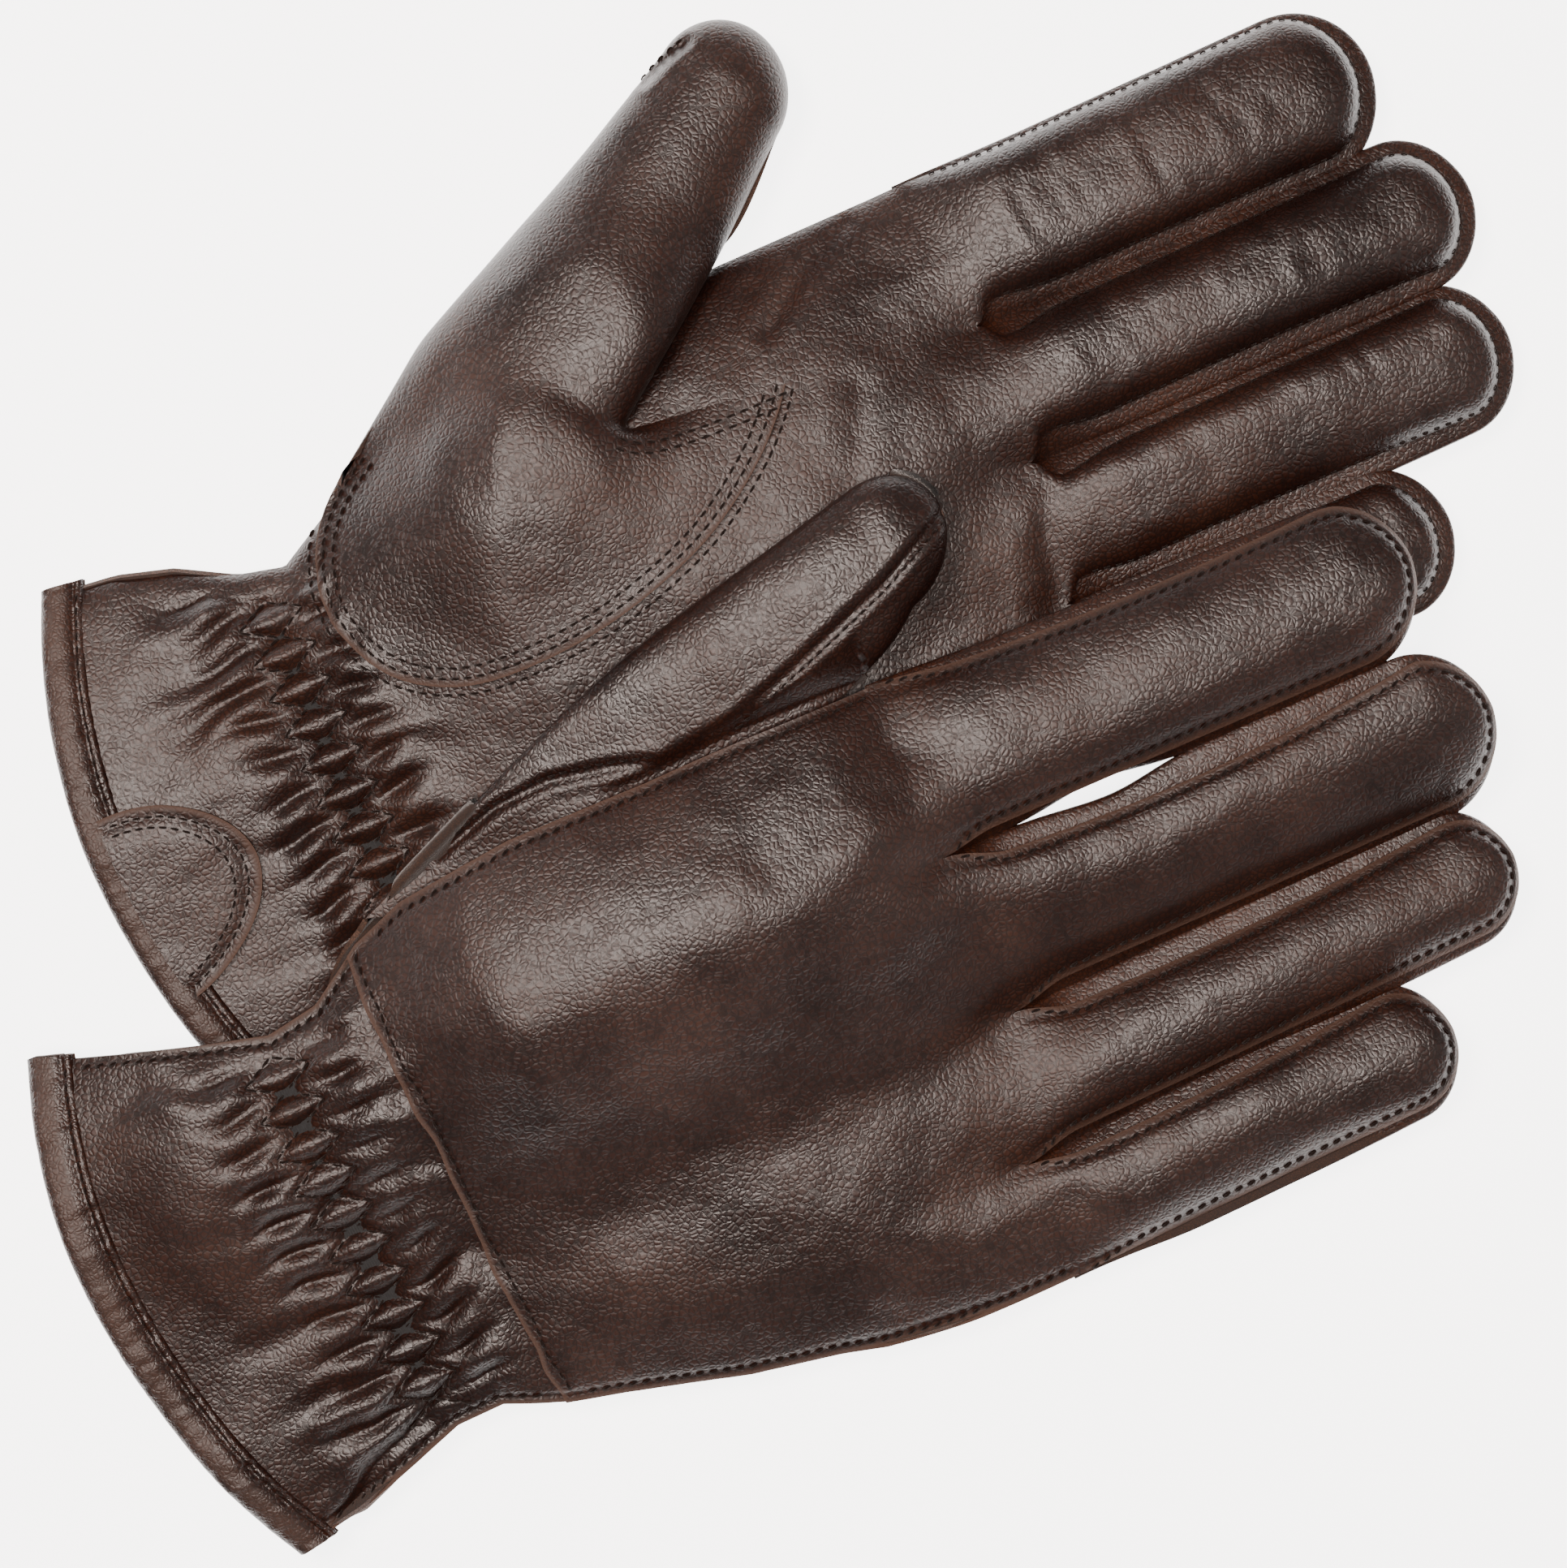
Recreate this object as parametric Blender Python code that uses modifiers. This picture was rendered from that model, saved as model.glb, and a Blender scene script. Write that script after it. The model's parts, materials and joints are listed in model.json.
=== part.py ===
"""A pair of lined leather gloves lying flat, one glove partly over the other.

The left glove lies palm up on the table.  The right glove lies palm down, and its thumb side
rests on the little-finger side of the left glove.  The fingers of both gloves point along +X.
Every leather panel is a thin sheet sewn to its neighbours; the sheets are separate objects with
a small gap where a seam would hold them.

All dimensions below are millimetres.  u runs from the cuffs to the fingertips and v from the
right glove's little finger to the left glove's thumb.  CENTRE_U and CENTRE_V are taken off at
the end so that the pair sits over the origin, and z = 0 is the table.
"""

import math

import bmesh
import bpy
from mathutils import Vector

# ------------------------------------------------------------------ driving dimensions
MM = 0.001
CENTRE_U = 4.289
CENTRE_V = 14.009

LEATHER = 1.0
GAP = 0.35
SEAM = LEATHER + GAP
LINING = 0.5
LINING_DEPTH = 2.1
HAND_LINING_DEPTH = 2.5
ELASTIC = 0.4
ELASTIC_DEPTH = 1.45
STRIP = 0.8

HAND_EDGE_TOP = 8.4
HAND_EDGE_BOTTOM = 6.0
CUFF_EDGE_TOP = 7.9
CUFF_EDGE_BOTTOM = 4.0
CUFF_RAISE = 1.7
FINGER_SEAM_TOP = 12.0
FINGER_SEAM_BOTTOM = 4.5
FINGER_CROWN = 4.5
PRESSED_SEAM_TOP = 8.6
PRESSED_SEAM_BOTTOM = 3.1
PRESSED_CROWN = 2.6
PRESSED_HAND = 0.6
TIP_TOP = 10.6
TIP_BOTTOM = 4.9
LITTLE_TIP_TOP = 10.2
LITTLE_TIP_BOTTOM = 4.9
INDEX_OUTER_TOP = 10.8
SEAM_INSET_TOP = 1.5
SEAM_INSET_BOTTOM = 3.0
CLOSED_INSET = 0.4
KNUCKLE_BLEND = 16.0
CROTCH_REACH = 15.0

BINDING_WIDTH = 6.0
BINDING_OVERHANG = 0.9
BINDING_SIDE = 1.9
ELASTIC_BAND = 14.0
PATCH_RADIUS = 17.5

LIFT_START = -58.0
LIFT_RUN = 47.0
LIFT_HEIGHT = 11.9
LIFT_THUMB_ROOM = 5.6
LIFT_CUFF_SHARE = 0.5
REST_GAP = 0.6
KEYSTONE_CLEARANCE = 1.9
BINDING_CLEARANCE = 1.6
DOUBLED = 2.8
UNDER_HAND = 0.9

FINGER_NAMES = ("little", "ring", "middle", "index")

# outline rows: (u, little-finger edge, thumb edge)
LEFT_OUTLINE = (
    (-102.0, -13.0, 81.5), (-90.0, -9.0, 80.0), (-80.0, -6.0, 77.0), (-70.0, -3.5, 71.5),
    (-62.0, -3.0, 69.5), (-50.0, -5.5, 76.0), (-35.0, -9.0, 80.0), (0.0, -12.5, 84.0),
    (27.0, -13.0, 86.5), (45.0, -13.0, 86.5), (60.0, -12.8, 86.5))
RIGHT_OUTLINE = (
    (-131.0, -86.0, 9.0), (-118.0, -84.0, 4.5), (-105.0, -80.5, 0.0), (-95.0, -77.5, -3.0),
    (-86.0, -77.3, -1.5), (-76.0, -81.5, 5.0), (-66.0, -84.0, 8.5), (-45.0, -90.0, 10.5),
    (-20.0, -95.0, 10.0), (0.0, -97.0, 10.5), (20.0, -97.5, 10.0))

# crown of the hand over the edge seam: (u, height)
LEFT_CROWN = ((-112.0, 6.5), (-82.0, 5.2), (-66.0, 4.6), (-50.0, 7.0), (-30.0, 10.5),
              (20.0, 11.0), (60.0, 8.0))
RIGHT_CROWN = ((-141.0, 6.5), (-110.0, 5.4), (-95.0, 4.6), (-80.0, 6.5), (-58.0, 10.0),
               (-20.0, 11.0), (20.0, 8.0))

# keystone of the left thumb piece, from its pointed end round to the side seam
KEYSTONE = ((29.0, 62.0), (26.0, 58.0), (20.0, 52.0), (10.0, 45.0), (0.0, 40.5), (-15.0, 36.5),
            (-30.0, 35.5), (-42.0, 37.0), (-52.0, 43.0), (-57.0, 52.0), (-58.5, 60.0),
            (-56.0, 70.0), (-50.0, 77.5), (-42.0, 82.0))
RIGHT_KEYSTONE_SHIFT = (-31.0, -73.5)

# leather colours: linear base colour, one entry for each kind of piece
BROWN = (0.060, 0.036, 0.027)
DARK_BROWN = (0.048, 0.028, 0.021)
EDGE_BROWN = (0.075, 0.045, 0.032)
LINING_GREY = (0.045, 0.040, 0.037)
ELASTIC_BLACK = (0.015, 0.014, 0.014)


# ------------------------------------------------------------------ small helpers
def clamp(x):
    """x held between 0 and 1."""
    return min(1.0, max(0.0, x))


def smooth(x):
    """A soft step from 0 to 1."""
    x = clamp(x)
    return x * x * (3.0 - 2.0 * x)


def lerp(a, b, f):
    """The value a fraction f of the way from a to b."""
    return a + (b - a) * f


def mix(p, q, f):
    """The point a fraction f of the way from p to q."""
    return tuple(lerp(a, b, f) for a, b in zip(p, q))


def through(stations, x):
    """The values at x along a list of (x, value, ...) stations."""
    if x <= stations[0][0]:
        return stations[0][1:]
    for first, second in zip(stations, stations[1:]):
        if x <= second[0]:
            f = (x - first[0]) / (second[0] - first[0])
            return mix(first[1:], second[1:], f)
    return stations[-1][1:]


def along(points, f):
    """The point a fraction f of the way along a polyline, by length."""
    lengths = [math.dist(p[:2], q[:2]) for p, q in zip(points, points[1:])]
    left = clamp(f) * sum(lengths)
    for p, q, length in zip(points, points[1:], lengths):
        if left <= length:
            return mix(p, q, left / length)
        left -= length
    return points[-1]


def soft_min(a, b, width=4.0):
    """The smaller of two heights, rounded where they cross."""
    h = max(width - abs(a - b), 0.0) / width
    return min(a, b) - h * h * width / 4.0


# ------------------------------------------------------------------ fingers
class Finger:
    """One finger lying flat: a straight centre line with a rounded end."""

    def __init__(self, name, base, tip, half_base, half_tip, pressed=(0.0, 0.0)):
        self.name = name
        self.base = base
        self.tip = tip
        self.length = math.dist(base, tip)
        self.direction = ((tip[0] - base[0]) / self.length, (tip[1] - base[1]) / self.length)
        self.half_base = half_base
        self.half_tip = half_tip
        self.pressed = pressed
        self.starts = (0.0, 0.0)
        self.outer_side = {"little": -1, "index": 1}.get(name, 0)
        self.tip_top = LITTLE_TIP_TOP if name == "little" else TIP_TOP
        self.tip_bottom = LITTLE_TIP_BOTTOM if name == "little" else TIP_BOTTOM

    def start(self, t):
        """Distance along the centre line where the finger begins, at t across it."""
        return lerp(self.starts[0], self.starts[1], (t + 1.0) / 2.0)

    def inset(self, x, t, depth):
        """How far a seam sits in from the outside of the finger."""
        if depth > SEAM_INSET_BOTTOM:
            return depth
        side = 1 if t > 0 else -1
        closed = self.name == "little" and side == self.outer_side
        full = CLOSED_INSET if closed else depth
        near = min(CLOSED_INSET, depth)
        return lerp(near, full, smooth((x - self.start(t)) / KNUCKLE_BLEND))

    def cap(self, x, depth):
        """Width factor that rounds off the fingertip."""
        radius = self.half_tip - depth
        past = x - (self.length - depth - radius)
        if past <= 0.0:
            return 1.0
        return math.sqrt(max(0.0, 1.0 - (past / radius) ** 2))

    def plan(self, x, t, depth):
        """Point in plan at x along and t across, for a surface set in by depth."""
        half = lerp(self.half_base, self.half_tip, clamp(x / self.length))
        reach = t * (half - self.inset(x, t, depth)) * self.cap(x, depth)
        du, dv = self.direction
        return (self.base[0] + du * x - dv * reach, self.base[1] + dv * x + du * reach)

    def row(self, s, t, depth, setback=GAP):
        """Distance along the finger for grid row s, packed closer towards the tip."""
        first = self.start(t) + setback
        return first + (self.length - depth - first) * math.sin(s * math.pi / 2.0)

    def seam_heights(self, x, t):
        """Heights of the upper and lower seam lines at x along the finger."""
        press = lerp(self.pressed[0], self.pressed[1], (t + 1.0) / 2.0)
        top = lerp(FINGER_SEAM_TOP, PRESSED_SEAM_TOP, press)
        bottom = lerp(FINGER_SEAM_BOTTOM, PRESSED_SEAM_BOTTOM, press)
        if self.name == "little":
            closed = (1.0 - t) / 2.0
            top = lerp(top, min(top, HAND_EDGE_TOP), closed)
            bottom = lerp(bottom, HAND_EDGE_BOTTOM - 0.5 * press, closed)
        if self.name == "index":
            closed = (1.0 + t) / 2.0
            top = lerp(top, INDEX_OUTER_TOP, closed)
        press = (self.pressed[0] + self.pressed[1]) / 2.0
        toward_tip = smooth((x / self.length - 0.5) / 0.42)
        top = lerp(top, self.tip_top - 0.8 * press, toward_tip)
        bottom = lerp(bottom, self.tip_bottom - 1.2 * press, toward_tip)
        return top, bottom

    def top(self, x, t):
        """Height of the upper leather."""
        press = lerp(self.pressed[0], self.pressed[1], (t + 1.0) / 2.0)
        crown = lerp(FINGER_CROWN, PRESSED_CROWN, press)
        round_end = self.cap(x, SEAM_INSET_TOP)
        return self.seam_heights(x, t)[0] + crown * math.cos(t * math.pi / 2.0) * round_end

    def bottom(self, x, t):
        """Height of the lower leather."""
        seam = self.seam_heights(x, t)[1]
        return seam * (1.0 - (1.0 - abs(t) ** 3) * self.cap(x, SEAM_INSET_BOTTOM))


# ------------------------------------------------------------------ gloves
class Glove:
    """One glove: its outline, its heights and its fingers."""

    def __init__(self, side, outline, crown, hem, fingers, crotches, thumb):
        self.side = side
        self.outline = outline
        self.crown = crown
        self.hem, self.bow, self.tilt = hem
        self.fingers = fingers
        self.crotches = crotches
        self.thumb = thumb
        self.knuckle = crotches[-1][0]
        self.turn = self.knuckle - 50.0
        for index, finger in enumerate(fingers):
            low, high = crotches[index], crotches[index + 1]
            finger.starts = (low[0] - finger.base[0], high[0] - finger.base[0])

    # plan -------------------------------------------------------
    def crotch_line(self, q):
        """Point at q across the line that joins the crotches of the fingers."""
        place = clamp(q) * (len(self.crotches) - 1)
        index = min(int(place), len(self.crotches) - 2)
        return mix(self.crotches[index], self.crotches[index + 1], place - index)

    def share(self, q):
        """Fraction of the hand's width that lies below q."""
        low = self.crotches[0][1]
        high = self.crotches[-1][1]
        return (self.crotch_line(q)[1] - low) / (high - low)

    def plan(self, rho, q, grow=0.0):
        """Point in plan on row rho of the hand, a fraction q across it."""
        share = self.share(q)
        across = 2.0 * share - 1.0
        row = min(rho, self.turn)
        fade = 1.0 - smooth((rho - self.hem) / 45.0)
        low, high = through(self.outline, rho)
        u = row + (self.bow * (1.0 - across * across) + self.tilt * across) * fade
        v = lerp(low - grow, high + grow, share)
        if rho <= self.turn:
            return u, v
        f = (rho - self.turn) / (self.knuckle - self.turn)
        end_u, end_v = self.crotch_line(q)
        end_v += grow * across
        return lerp(u, end_u, f), lerp(v, end_v, smooth(f))

    def across(self, u, v):
        """Position across the hand, -1 at the little-finger edge and +1 at the thumb edge."""
        low, high = through(self.outline, u)
        return max(-1.0, min(1.0, (2.0 * v - low - high) / (high - low)))

    def near_crotch(self, u, v):
        """0 on a crotch between two fingers, growing to 1 over a finger or the hand."""
        points = self.crotches
        index = 0
        while index < len(points) - 2 and v > points[index + 1][1]:
            index += 1
        f = clamp((v - points[index][1]) / (points[index + 1][1] - points[index][1]))
        behind = max(0.0, lerp(points[index][0], points[index + 1][0], f) - u)
        outer = (index == 0 and f < 0.5) or (index == len(points) - 2 and f > 0.5)
        over = 1.0 if outer else math.sin(f * math.pi)
        return math.hypot(over, behind / CROTCH_REACH)

    # heights ----------------------------------------------------
    def pressed(self, v):
        """How far the other glove presses this one down at v."""
        if self.side == "right":
            return 0.0
        return 1.0 - smooth((v - 11.0) / 30.0)

    def lift(self, u, v):
        """How far this glove is held up by the one under it."""
        if self.side == "left":
            return 0.0
        room = smooth((u + 78.0) / 25.0) * (1.0 - smooth((u - 8.0) / 25.0))
        cuff = lerp(LIFT_CUFF_SHARE, 1.0, smooth((u + 138.0) / 26.0))
        height = (LIFT_HEIGHT + LIFT_THUMB_ROOM * room) * cuff
        return height * smooth((v - LIFT_START) / LIFT_RUN)

    def cuff(self, u):
        """1 in the cuff, 0 in the hand."""
        return 1.0 - smooth((u - self.hem - 30.0) / 25.0)

    def top(self, u, v):
        """Height of the upper leather of the hand."""
        across = self.across(u, v)
        press = self.pressed(v)
        edge = lerp(HAND_EDGE_TOP, CUFF_EDGE_TOP, self.cuff(u))
        crown = through(self.crown, u)[0] * lerp(1.0, PRESSED_HAND, press)
        palm = edge + crown * (1.0 - abs(across) ** 3)
        seam = lerp(FINGER_SEAM_TOP, PRESSED_SEAM_TOP, press)
        rise = lerp(FINGER_CROWN, PRESSED_CROWN, press) * self.near_crotch(u, v)
        return soft_min(palm, seam + rise) + self.lift(u, v)

    def bottom(self, u, v):
        """Height of the lower leather of the hand."""
        across = self.across(u, v)
        edge = lerp(HAND_EDGE_BOTTOM, CUFF_EDGE_BOTTOM, self.cuff(u))
        seam = lerp(FINGER_SEAM_BOTTOM, PRESSED_SEAM_BOTTOM, self.pressed(v))
        dip = seam * max(0.0, 1.0 - 1.3 * self.near_crotch(u, v))
        raised = CUFF_RAISE * self.cuff(u)
        return max(edge * across ** 4, dip) + raised + self.lift(u, v)

    def layer(self, u, v, upper, depth):
        """Height of a layer that lies depth inside the outer face of the leather."""
        face = self.top if upper else self.bottom
        slope = face(u, v + 0.5) - face(u, v - 0.5)
        inward = depth * math.hypot(1.0, slope)
        return face(u, v) - inward if upper else face(u, v) + inward

    def finger_height(self, finger, x, t, point, upper):
        """Height of a finger's leather, run into the height of the hand at its root."""
        own = finger.top(x, t) if upper else finger.bottom(x, t)
        hand = self.top(*point) if upper else self.bottom(*point)
        return lerp(hand, own + self.lift(*point), smooth((x - finger.start(t)) / KNUCKLE_BLEND))


# ------------------------------------------------------------------ building sheets
def material(name, colour, roughness):
    """A plain material of one colour."""
    made = bpy.data.materials.new(name)
    made.use_nodes = True
    shader = made.node_tree.nodes["Principled BSDF"]
    shader.inputs["Base Color"].default_value = (*colour, 1.0)
    shader.inputs["Roughness"].default_value = roughness
    shader.inputs["Metallic"].default_value = 0.0
    return made


def place(point):
    """A (u, v, z) point in millimetres as a position in metres."""
    u, v, z = point
    return Vector(((u - CENTRE_U) * MM, (v - CENTRE_V) * MM, z * MM))


def sheet(name, rows, columns, surface, thickness, colour, pivot=None, flip=False, rough=0.5):
    """A thin sheet over surface(a, b) with a and b from 0 to 1, thickened away from its face."""
    bm = bmesh.new()
    bmesh.ops.create_grid(bm, x_segments=rows, y_segments=columns, size=0.5)
    origin = place(pivot) if pivot else Vector((0.0, 0.0, 0.0))
    for vertex in bm.verts:
        a = clamp(vertex.co.x + 0.5)
        b = clamp(vertex.co.y + 0.5)
        vertex.co = place(surface(a, b)) - origin
    bmesh.ops.remove_doubles(bm, verts=bm.verts[:], dist=0.00002)
    if flip:
        bmesh.ops.reverse_faces(bm, faces=bm.faces[:])
    mesh = bpy.data.meshes.new(name)
    bm.to_mesh(mesh)
    bm.free()
    for polygon in mesh.polygons:
        polygon.use_smooth = True
    made = bpy.data.objects.new(name, mesh)
    made.location = origin
    PARTS.objects.link(made)
    mesh.materials.append(material(name + "_material", colour, rough))
    solid = made.modifiers.new("thickness", "SOLIDIFY")
    solid.thickness = thickness * MM
    solid.offset = -1.0
    return made


# ------------------------------------------------------------------ hand pieces
def hand_sheet(glove, name, first, last, rows, upper):
    """A leather panel of the hand between two rows, on the upper or the lower side."""

    def surface(a, b):
        u, v = glove.plan(lerp(first, last, a), b)
        if last == glove.knuckle and a == 1.0:
            u -= GAP
        z = glove.top(u, v) if upper else glove.bottom(u, v)
        return u, v, z

    return sheet(glove.side + "_" + name, rows, 16, surface, LEATHER, BROWN, flip=not upper)


def hand_tube(glove, name, first, last, rows, depth, side, thickness, colour, stop=0.0):
    """A flat tube round the hand, depth inside the leather and set in by side at its edges."""
    steps = 16
    columns = 2 * steps + 2

    def surface(a, b):
        rho = lerp(first, last, a)
        step = round(b * columns) % columns
        upper = step <= steps
        q = step / steps if upper else (columns - 1 - step) / steps
        u, v = glove.plan(rho, q, grow=-side)
        u -= stop * a
        return u, v, glove.layer(u, v, upper, depth)

    name = glove.side + "_" + name
    return sheet(name, rows, columns, surface, thickness, colour, rough=0.8)


def half_moon(glove, centre_q, upper):
    """The half-moon patch stitched to the palm with its straight side along the hem."""
    sign = 1.0 if upper else -1.0
    first = glove.hem + BINDING_WIDTH + GAP

    def surface(a, b):
        angle = math.pi * b
        reach = PATCH_RADIUS * (0.02 + 0.98 * a)
        centre_u, centre_v = glove.plan(first, centre_q)
        u = centre_u + reach * math.sin(angle)
        v = centre_v - reach * math.cos(angle)
        edge = glove.plan(first, centre_q + 0.5 * (v - centre_v) / 47.0)[0]
        u += edge - centre_u
        z = (glove.top(u, v) if upper else glove.bottom(u, v)) + sign * SEAM
        return u, v, z

    name = glove.side + "_half_moon_patch"
    return sheet(name, 4, 12, surface, LEATHER, DARK_BROWN, flip=not upper)


# ------------------------------------------------------------------ finger pieces
def finger_pivot(glove, finger):
    """Hinge point of a finger: on its centre line, at its root, at the top of the leather."""
    x = min(finger.starts)
    u = finger.base[0] + finger.direction[0] * x
    v = finger.base[1] + finger.direction[1] * x
    highest = max(glove.top(u, v + 2.0 * step) for step in range(-3, 4))
    return u, v, highest


def finger_sheet(glove, finger, name, upper, pivot):
    """The leather on one face of a finger."""
    depth = SEAM_INSET_TOP if upper else SEAM_INSET_BOTTOM

    def surface(a, b):
        t = 2.0 * b - 1.0
        x = finger.row(a, t, depth)
        u, v = finger.plan(x, t, depth)
        return u, v, glove.finger_height(finger, x, t, (u, v), upper)

    name = glove.side + "_" + finger.name + "_" + name
    return sheet(name, 9, 6, surface, LEATHER, BROWN, pivot, flip=not upper)


def finger_strip(glove, finger, side, pivot):
    """The narrow strip sewn between the two faces of a finger."""
    outer = side == finger.outer_side
    setback = KNUCKLE_BLEND if outer else GAP

    def surface(a, b):
        s = 0.92 * a
        ends = []
        for depth, upper in ((SEAM_INSET_TOP, True), (0.0, None), (SEAM_INSET_BOTTOM, False)):
            x = finger.row(s, side, depth, setback)
            u, v = finger.plan(x, side, depth)
            if upper is None:
                ends.append((u, v, 0.0))
                continue
            z = glove.finger_height(finger, x, side, (u, v), upper)
            ends.append((u, v, z - SEAM if upper else z + SEAM))
        high, middle, low = ends
        middle = (middle[0], middle[1], (high[2] + low[2]) / 2.0)
        control = tuple(2.0 * m - (p + q) / 2.0 for p, m, q in zip(high, middle, low))
        first = mix(high, control, b)
        second = mix(control, low, b)
        return mix(first, second, b)

    label = "outer_strip" if outer else ("thumb_side_strip" if side > 0 else "little_side_strip")
    name = glove.side + "_" + finger.name + "_" + label
    return sheet(name, 8, 3, surface, STRIP, DARK_BROWN, pivot, flip=side < 0)


def finger_lining(glove, finger, pivot):
    """The lining of a finger, a soft tube closed at the tip."""
    depth = SEAM_INSET_BOTTOM + 1.2

    def surface(a, b):
        angle = 2.0 * math.pi * b
        t = 0.0 if a >= 1.0 else -math.cos(angle)
        x = finger.row(a, 0.0, depth, setback=GAP + abs(finger.starts[1] - finger.starts[0]) / 2)
        u, v = finger.plan(x, t, depth)
        wide = t * (1.0 - depth / finger.half_tip)
        high = glove.finger_height(finger, x, wide, (u, v), True) - LINING_DEPTH
        low = glove.finger_height(finger, x, wide, (u, v), False) + LINING_DEPTH
        tall = max((high - low) / 2.0, 0.9) * finger.cap(x, depth)
        rise = tall * abs(math.sin(angle)) ** 0.6
        return u, v, (high + low) / 2.0 + (rise if b <= 0.5 else -rise)

    name = glove.side + "_" + finger.name + "_lining"
    return sheet(name, 6, 12, surface, LINING, LINING_GREY, pivot, rough=0.9)


# ------------------------------------------------------------------ thumbs
class Thumb:
    """A thumb as four cross-sections: seam points on both sides and the rise of each face.

    inner_top and inner_bottom are the two edges of the thumb leather on the side of the hand;
    outer is the far side, where the leather wraps round.
    """

    def __init__(self, inner_top, outer, inner_bottom, rise, drop, tip_half, blunt):
        self.inner_top = inner_top
        self.outer = outer
        self.inner_bottom = inner_bottom
        self.rise = rise
        self.drop = drop
        self.tip_half = tip_half
        self.blunt = blunt

    def section(self, station, p):
        """Point at p round cross-section number station, which may be fractional."""
        index = min(int(station), len(self.outer) - 2)
        f = station - index
        outer = mix(self.outer[index], self.outer[index + 1], f)
        upper = p <= 0.5
        rail = self.inner_top if upper else self.inner_bottom
        inner = mix(rail[index], rail[index + 1], f)
        tau = 2.0 * p if upper else 2.0 - 2.0 * p
        heights = self.rise if upper else self.drop
        height = lerp(heights[index], heights[index + 1], f)
        reach = (1.0 - math.cos(math.pi * tau)) / 2.0
        u, v, z = mix(inner, outer, reach)
        power = lerp(self.blunt[index], self.blunt[index + 1], f)
        z += (height if upper else -height) * max(0.0, math.sin(math.pi * tau)) ** power
        return u, v, z


def thumb_height(glove, u, v, z, upper, depth=0.0):
    """A thumb height kept clear of the hand above it and of what lies below it."""
    if glove.side == "left":
        return max(z, 0.05 + depth)
    edge = through(glove.outline, u)[1]
    if u < glove.knuckle + 2.0:
        ceiling = glove.bottom(u, min(v, edge)) - UNDER_HAND - depth
        if upper:
            z = min(z, ceiling + 1.2 * max(0.0, v - edge - 1.2))
        elif v < edge + 0.3:
            z = min(z, ceiling - DOUBLED)
    over_left = u > LEFT.hem - 12.0 and v > through(LEFT.outline, u)[0] - 2.5
    floor = LEFT.top(u, v) + REST_GAP if over_left else 0.05
    floor += DOUBLED if upper and depth == 0.0 else depth
    return max(z, floor)


def thumb_base(glove):
    """The thumb leather from its keystone on the palm to the middle of the thumb."""
    palm_up = glove.side == "left"
    shift = (0.0, 0.0) if palm_up else RIGHT_KEYSTONE_SHIFT
    thumb = glove.thumb
    start_of_tube = 0.42

    def skin(u, v):
        """Height of the keystone over the palm it is stitched to."""
        if palm_up:
            return glove.top(u, v) + KEYSTONE_CLEARANCE
        return glove.bottom(u, v) - KEYSTONE_CLEARANCE

    def outline(p):
        """Edge of the keystone on the palm side, and the side seam on the back."""
        if (p <= 0.5) == palm_up:
            f = 2.0 * p if palm_up else 2.0 - 2.0 * p
            u, v = along(KEYSTONE, f)
            u += shift[0]
            v += shift[1]
            return u, v, skin(u, v)
        f = 2.0 - 2.0 * p if palm_up else 2.0 * p
        end = thumb.section(0.0, 0.5)
        inner = thumb.section(0.0, 1.0 if palm_up else 0.0)
        corner = (KEYSTONE[-1][0] + shift[0], KEYSTONE[-1][1] + shift[1])
        corner += (end[2] if palm_up else skin(*corner) + DOUBLED / 2.0,)
        return mix(mix(inner, corner, 0.25), corner, f)

    def surface(a, b):
        upper = b <= 0.5
        if a >= start_of_tube:
            u, v, z = thumb.section(2.0 * (a - start_of_tube) / (1.0 - start_of_tube), b)
            return u, v, thumb_height(glove, u, v, z, upper)
        f = a / start_of_tube
        last = thumb.section(0.0, b)
        u, v, z = mix(outline(b), last, f)
        if upper == palm_up:
            z = lerp(skin(u, v), skin(u, v) + last[2] - skin(last[0], last[1]), smooth(f))
            z = max(z, skin(u, v)) if palm_up else min(z, skin(u, v))
        return u, v, thumb_height(glove, u, v, z, upper)

    name = glove.side + "_thumb_base"
    return sheet(name, 14, 16, surface, LEATHER, BROWN)


def thumb_pivot(glove):
    """Hinge point of the thumb tip: the middle of the joint section, at its top."""
    inner = glove.thumb.section(2.0, 0.0)
    outer = glove.thumb.section(2.0, 0.5)
    top = max(glove.thumb.section(2.0, 0.05 * step)[2] for step in range(1, 10))
    middle = mix(inner, outer, 0.5)
    return middle[0], middle[1], top


def thumb_direction(glove):
    """Unit direction of the thumb tip in plan."""
    inner = glove.thumb.section(2.0, 0.0)
    outer = glove.thumb.section(2.0, 0.5)
    across = (outer[0] - inner[0], outer[1] - inner[1])
    length = math.hypot(*across)
    return across[1] / length, -across[0] / length


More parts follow.
